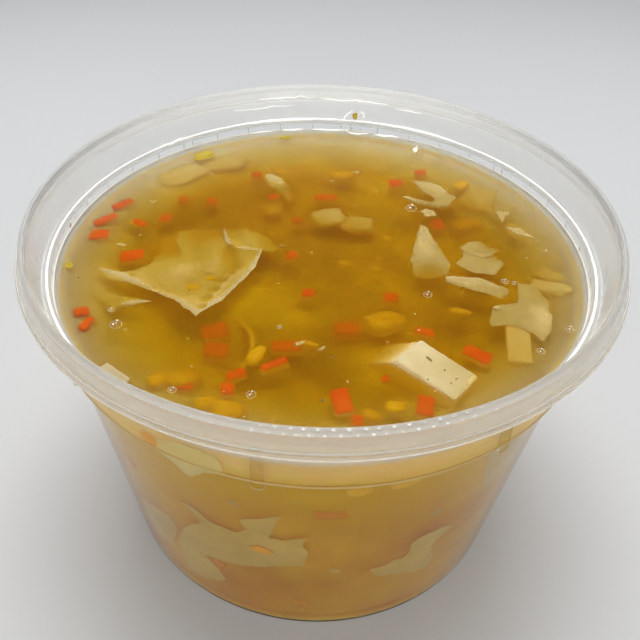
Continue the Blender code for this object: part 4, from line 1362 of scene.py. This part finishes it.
# Small torn bits of egg at the surface, in mm and degrees: x, y, length, width, turn.
EGG_BITS = [
    (-37.3, 17.6, 2.2, 1.0, 0), (-40.9, 0.9, 2.4, 1.0, -10), (23.6, 16.0, 2.8, 3.2, 30),
    (-3.0, -27.4, 2.2, 0.9, 30), (-5.6, 36.1, 0.9, 0.6, 0), (2.5, 28.5, 0.9, 0.7, 0),
    (8.2, 32.7, 2.0, 0.9, -10), (46.5, 3.0, 1.6, 0.9, 60), (1.0, -28.6, 1.8, 0.7, 40),
    (33.5, -15.8, 1.6, 1.0, 10),
]
# Small torn flakes near the right edge: outlines in mm.
FLAKES = [
    [(38.2, 17.6), (41.8, 17.0), (40.4, 15.6), (39.2, 12.8)],
    [(39.1, 11.2), (42.6, 10.9), (45.1, 7.4), (43.2, 8.0), (41.6, 8.4)],
]


def make_egg_bits(material):
    bm = bmesh.new()
    for points in FLAKES:
        sheet_body(bm, ragged(points, 0.6 * MM, 0.25 * MM), sheet_height("flake", 0.32 * MM), 0.55 * MM)
    for x, y, length, width, turn in EGG_BITS:
        place = placed(at_soup(x, y, -0.22), 0, 0, turn)
        add_blob(bm, place, (length, width, 0.5), 0.5, (x, y, 0), flat=True)
    new_piece("egg_bits", bm, material, "egg", ["broth"])


def make_specks():
    """Fine crumbs of egg and fat that float at the surface and just under it."""
    draw = random.Random(31)
    bm = bmesh.new()
    count, reach = 110, 50
    for _ in range(count):
        far = reach * math.sqrt(draw.random())
        angle = draw.uniform(0, math.tau)
        depth = draw.choice((0.05, 0.1, 0.6, 1.6, 2.6))
        at = sunk(far * math.cos(angle), far * math.sin(angle), depth)
        size = draw.uniform(0.12, 0.28) * MM
        stretch = Matrix.Diagonal((draw.uniform(0.8, 1.8), 1, 0.6, 1))
        place = placed(at, 0, 0, draw.uniform(0, 360)) @ stretch
        bmesh.ops.create_icosphere(bm, subdivisions=1, radius=size, matrix=place)
    material = soup_finish("specks", (0.70, 0.52, 0.18), (0.58, 0.40, 0.08), 700, 6.0, 0.4)
    new_piece("egg_specks", bm, material, "egg")


# ---------------------------------------------------------------- tofu and other pieces


def tofu_body(size, top, turn, lean, seed):
    """A cut block with crumbly faces, in mm and degrees. Lean is how far one end's foot stands out."""
    bm = bmesh.new()
    bmesh.ops.create_cube(bm, size=1)
    bmesh.ops.bevel(bm, geom=list(bm.edges), offset=0.07, segments=3, affect="EDGES", profile=0.6)
    bmesh.ops.subdivide_edges(
        bm, edges=[e for e in bm.edges if e.calc_length() > 0.3], cuts=14, use_grid_fill=True
    )
    for vert in bm.verts:
        co = Vector((vert.co.x * size[0], vert.co.y * size[1], (vert.co.z - 0.5) * size[2])) * MM
        share = 0.5 - co.x / (size[0] * MM)
        co.x += lean * MM * share * co.z / (size[2] * MM)
        vert.co = co
    bm.normal_update()
    crumb_width, crumb_height = 1.3 * MM, 0.10 * MM
    for vert in bm.verts:
        crumb = noise.fractal(vert.co / crumb_width + Vector((seed, 0, 0)), 0.8, 2.0, 4)
        vert.co += vert.normal * crumb * crumb_height
    bmesh.ops.transform(bm, matrix=placed(Vector(top) * MM, *turn), verts=bm.verts)
    return bm


def make_tofu():
    soft = tofu_finish()
    pale = soup_finish("tofu_slab", (0.66, 0.50, 0.22), (0.58, 0.42, 0.15), 200, 7.5, 0.6)
    slab_top = sunk(35.8, -25.4, 1.7) / MM
    for name, node_names, material, *shape in (
        ("tofu_block_soft", ["tofu_block"], soft,
         (12.0, 7.4, 9.0), (20.8, -33.2, 67.85), (-2, 5.5, -40), 6.5, 1),
        ("tofu_corner_soft", ["tofu_corner"], soft,
         (6.2, 2.2, 8.0), (-34.0, -36.7, 67.5), (0, 0, -37), 0.0, 5),
        ("tofu_slab", (), pale, (9.8, 4.3, 5.0), slab_top, (6, 6, -96), 1.5, 9),
    ):
        new_piece(name, tofu_body(*shape), material, "tofu", node_names, 60)


# Pale lumps sunk in the broth: x, y where they show, depth, length, width, thickness, turn.
LUMPS = [
    (36.1, 21.9, 2.4, 9.7, 8.2, 4.0, 60), (45.5, -6.0, 2.8, 7.0, 4.0, 3.0, -30),
    (44.6, -9.6, 1.5, 7.4, 4.2, 2.0, -20), (-33.3, 28.8, 1.6, 13.0, 7.0, 2.0, 35),
    (1.8, 12.6, 1.9, 7.4, 5.2, 3.0, 5), (8.0, 10.4, 2.5, 7.0, 5.2, 3.0, -10),
    (43.5, 8.0, 2.8, 10.0, 6.0, 3.0, -60), (-10.4, 15.6, 4.4, 5.0, 4.4, 3.0, 0),
    (-24.0, 34.6, 2.0, 11.0, 5.4, 2.0, 15), (29.0, 20.0, 4.8, 6.0, 4.4, 3.0, 0),
]


def make_lumps():
    bm = bmesh.new()
    for index, (x, y, depth, length, width, thick, turn) in enumerate(LUMPS):
        place = placed(sunk(x, y, depth + thick / 2), 4, -5, turn)
        shift = (index * 5.0, 0, 0)
        add_blob(bm, place, (length, width, thick), 0.35, shift, waves=2.4, fine=4, square=0.7)
    material = soup_finish("tofu_sunk", (0.60, 0.48, 0.24), (0.50, 0.39, 0.16), 200, 5.2, 0.6)
    new_piece("tofu_sunk", bm, material, "tofu")


def make_slice():
    """A curved translucent slice of vegetable, sunk under the left of the surface."""
    bm = bmesh.new()
    middle = sunk(-20.9, -28.8, 3.9)
    radius, droop, start, sweep, steps = 10.0, 2.6, -78, 150, 32
    points = []
    for step in range(steps + 1):
        turn = math.radians(start + sweep * step / steps)
        out, along = math.cos(turn), math.sin(turn)
        points.append(middle + Vector((radius * out, radius * along, -droop * (1 - out))) * MM)
    add_tube(bm, points, 0.62 * MM)
    material = soup_finish("slice", (0.66, 0.47, 0.04), (0.58, 0.40, 0.02), 160, 6.0, 0.4)
    new_piece("vegetable_slice", bm, material, "carrot", sharp=60)


# Bubbles, in mm: x, y, radius.
BUBBLES = [
    (23.0, 43.6, 1.4), (19.9, 17.3, 1.2), (20.9, -12.8, 0.8), (-10.4, -40.4, 0.8),
    (-36.4, -24.2, 1.1), (45.6, -21.5, 0.8), (-23.5, -40.0, 0.7), (-38.2, -20.2, 0.6),
    (36.2, -8.0, 0.7), (38.0, -8.4, 0.5), (39.2, -27.6, 0.7), (-6.7, -23.4, 0.4),
]


def add_dome(bm, at, radius):
    """A slightly flat open dome, to be given a thin skin."""
    made = bmesh.ops.create_uvsphere(bm, u_segments=20, v_segments=12, radius=radius)["verts"]
    foot = -0.12 * radius
    under = [vert for vert in made if vert.co.z < foot]
    above = [vert for vert in made if vert.co.z >= foot]
    bmesh.ops.delete(bm, geom=under, context="VERTS")
    bmesh.ops.transform(bm, matrix=Matrix.Translation(at) @ Matrix.Diagonal((1, 1, 0.7, 1)), verts=above)


def make_bubbles():
    """Thin domes, each with a golden ring of painted highlight at its foot and two glints, small glowing
    balls of painted highlight. The first has one large glint.
    """
    skins, rims, gleams = bmesh.new(), bmesh.new(), bmesh.new()
    for index, (x, y, radius) in enumerate(BUBBLES):
        add_dome(skins, at_soup(x, y), radius * MM)
        ring_of(rims, at_soup(x, y, 0.12), radius * MM, 0.05 * MM, 0.05 * MM, 40)
        for angle in (1.2, 4.2):
            shine, out = (0.42, 0.3) if index == 0 and angle > 2 else (0.16, 0.55)
            at = at_soup(x, y) + Vector((math.cos(angle), math.sin(angle), 1)) * out * radius * MM
            place = Matrix.Translation(at)
            bmesh.ops.create_icosphere(gleams, subdivisions=2, radius=shine * radius * MM, matrix=place)
    bmesh.ops.solidify(skins, geom=skins.faces[:], thickness=0.07 * MM)
    clear = two_tone(
        "bubble_skin", (1.0, 0.97, 0.88), (1.0, 0.99, 0.94), 300, 1.0, Roughness=0.03, IOR=BROTH_IOR,
        Transmission_Weight=1.0,
    )
    clear.clear_to_light()
    new_piece("bubbles", skins, clear.material, "broth", ["broth"], 60, None)
    # The rims and glints are painted highlights; the glints glow.
    golden = line_finish("bubble_rim", (0.84, 0.72, 0.44), (0.50, 0.36, 0.10), 0.3)
    new_piece("bubble_rim_highlights", rims, golden, "broth")
    white = line_finish("bubble_gleam", (1.0, 1.0, 0.96), (0.92, 0.90, 0.84), 0.2, 0.35)
    new_piece("bubble_gleams", gleams, white, "broth")


# Dark specks, in mm and degrees: x, y, height over the surface, length, width, turn.
DARK_SPECKS = [
    (2.8, -30.8, 0, 0.5, 0.4, 0), (1.3, -41.1, 0, 0.6, 0.5, 30), (40.2, 7.6, 0, 0.45, 0.4, 0),
    (-46.8, -10.8, 0, 0.5, 0.4, 10), (-14.2, 2.2, 0, 0.4, 0.4, 0), (-24.6, -13.6, -0.1, 0.3, 0.3, 0),
    (-44.4, 18.4, -0.3, 1.8, 1.1, 20), (19.4, -31.3, 0.88, 1.5, 0.45, -48),
    (21.8, -33.8, 0.72, 0.4, 0.3, 0), (23.6, -35.6, 0.55, 0.5, 0.25, 20),
    (18.8, -36.0, 0.62, 0.3, 0.3, 0), (22.6, -36.6, 0.5, 0.3, 0.3, 0),
]


def make_dark_specks():
    bm = bmesh.new()
    for x, y, rise, length, width, turn in DARK_SPECKS:
        place = placed(at_soup(x, y, rise + 0.05), 0, 0, turn)
        add_blob(bm, place, (length, width, 0.3), 0.4, (x, y, 0), fine=2)
    material = soup_finish("dark_specks", (0.42, 0.32, 0.12), (0.28, 0.20, 0.06), 900, 20.0, 0.5)
    new_piece("dark_specks", bm, material, "broth")


# ---------------------------------------------------------------- floor


def make_floor():
    mesh = bpy.data.meshes.new("floor")
    bm = bmesh.new()
    bmesh.ops.create_grid(bm, x_segments=40, y_segments=40, size=2.0)
    bm.to_mesh(mesh)
    bm.free()
    pale = (0.80, 0.81, 0.82), (0.83, 0.84, 0.84)
    mesh.materials.append(two_tone("floor", *pale, 8, 2.0, Roughness=0.55, Specular_IOR_Level=0.2).material)
    floor = bpy.data.objects.new("floor", mesh)
    bpy.context.scene.collection.objects.link(floor)
    GROUND.objects.link(floor)
    floor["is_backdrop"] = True


make_camera()
make_studio()
make_floor()
make_tub()
make_pips()
make_lugs()
make_lines()
make_gleams()
make_leeks()
make_rib_edges()
make_broth()
make_murk()
make_carrots()
make_corn()
EGG = egg_finish()
make_sheets(EGG)
make_sunk_sheets(EGG)
make_egg_bits(EGG)
make_tofu()
make_lumps()
make_slice()
make_bubbles()
make_specks()
make_dark_specks()

boxes = {"cad": CAD_BOX, "visual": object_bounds()}
{name: [list(corner) for corner in box] for name, box in boxes.items()}
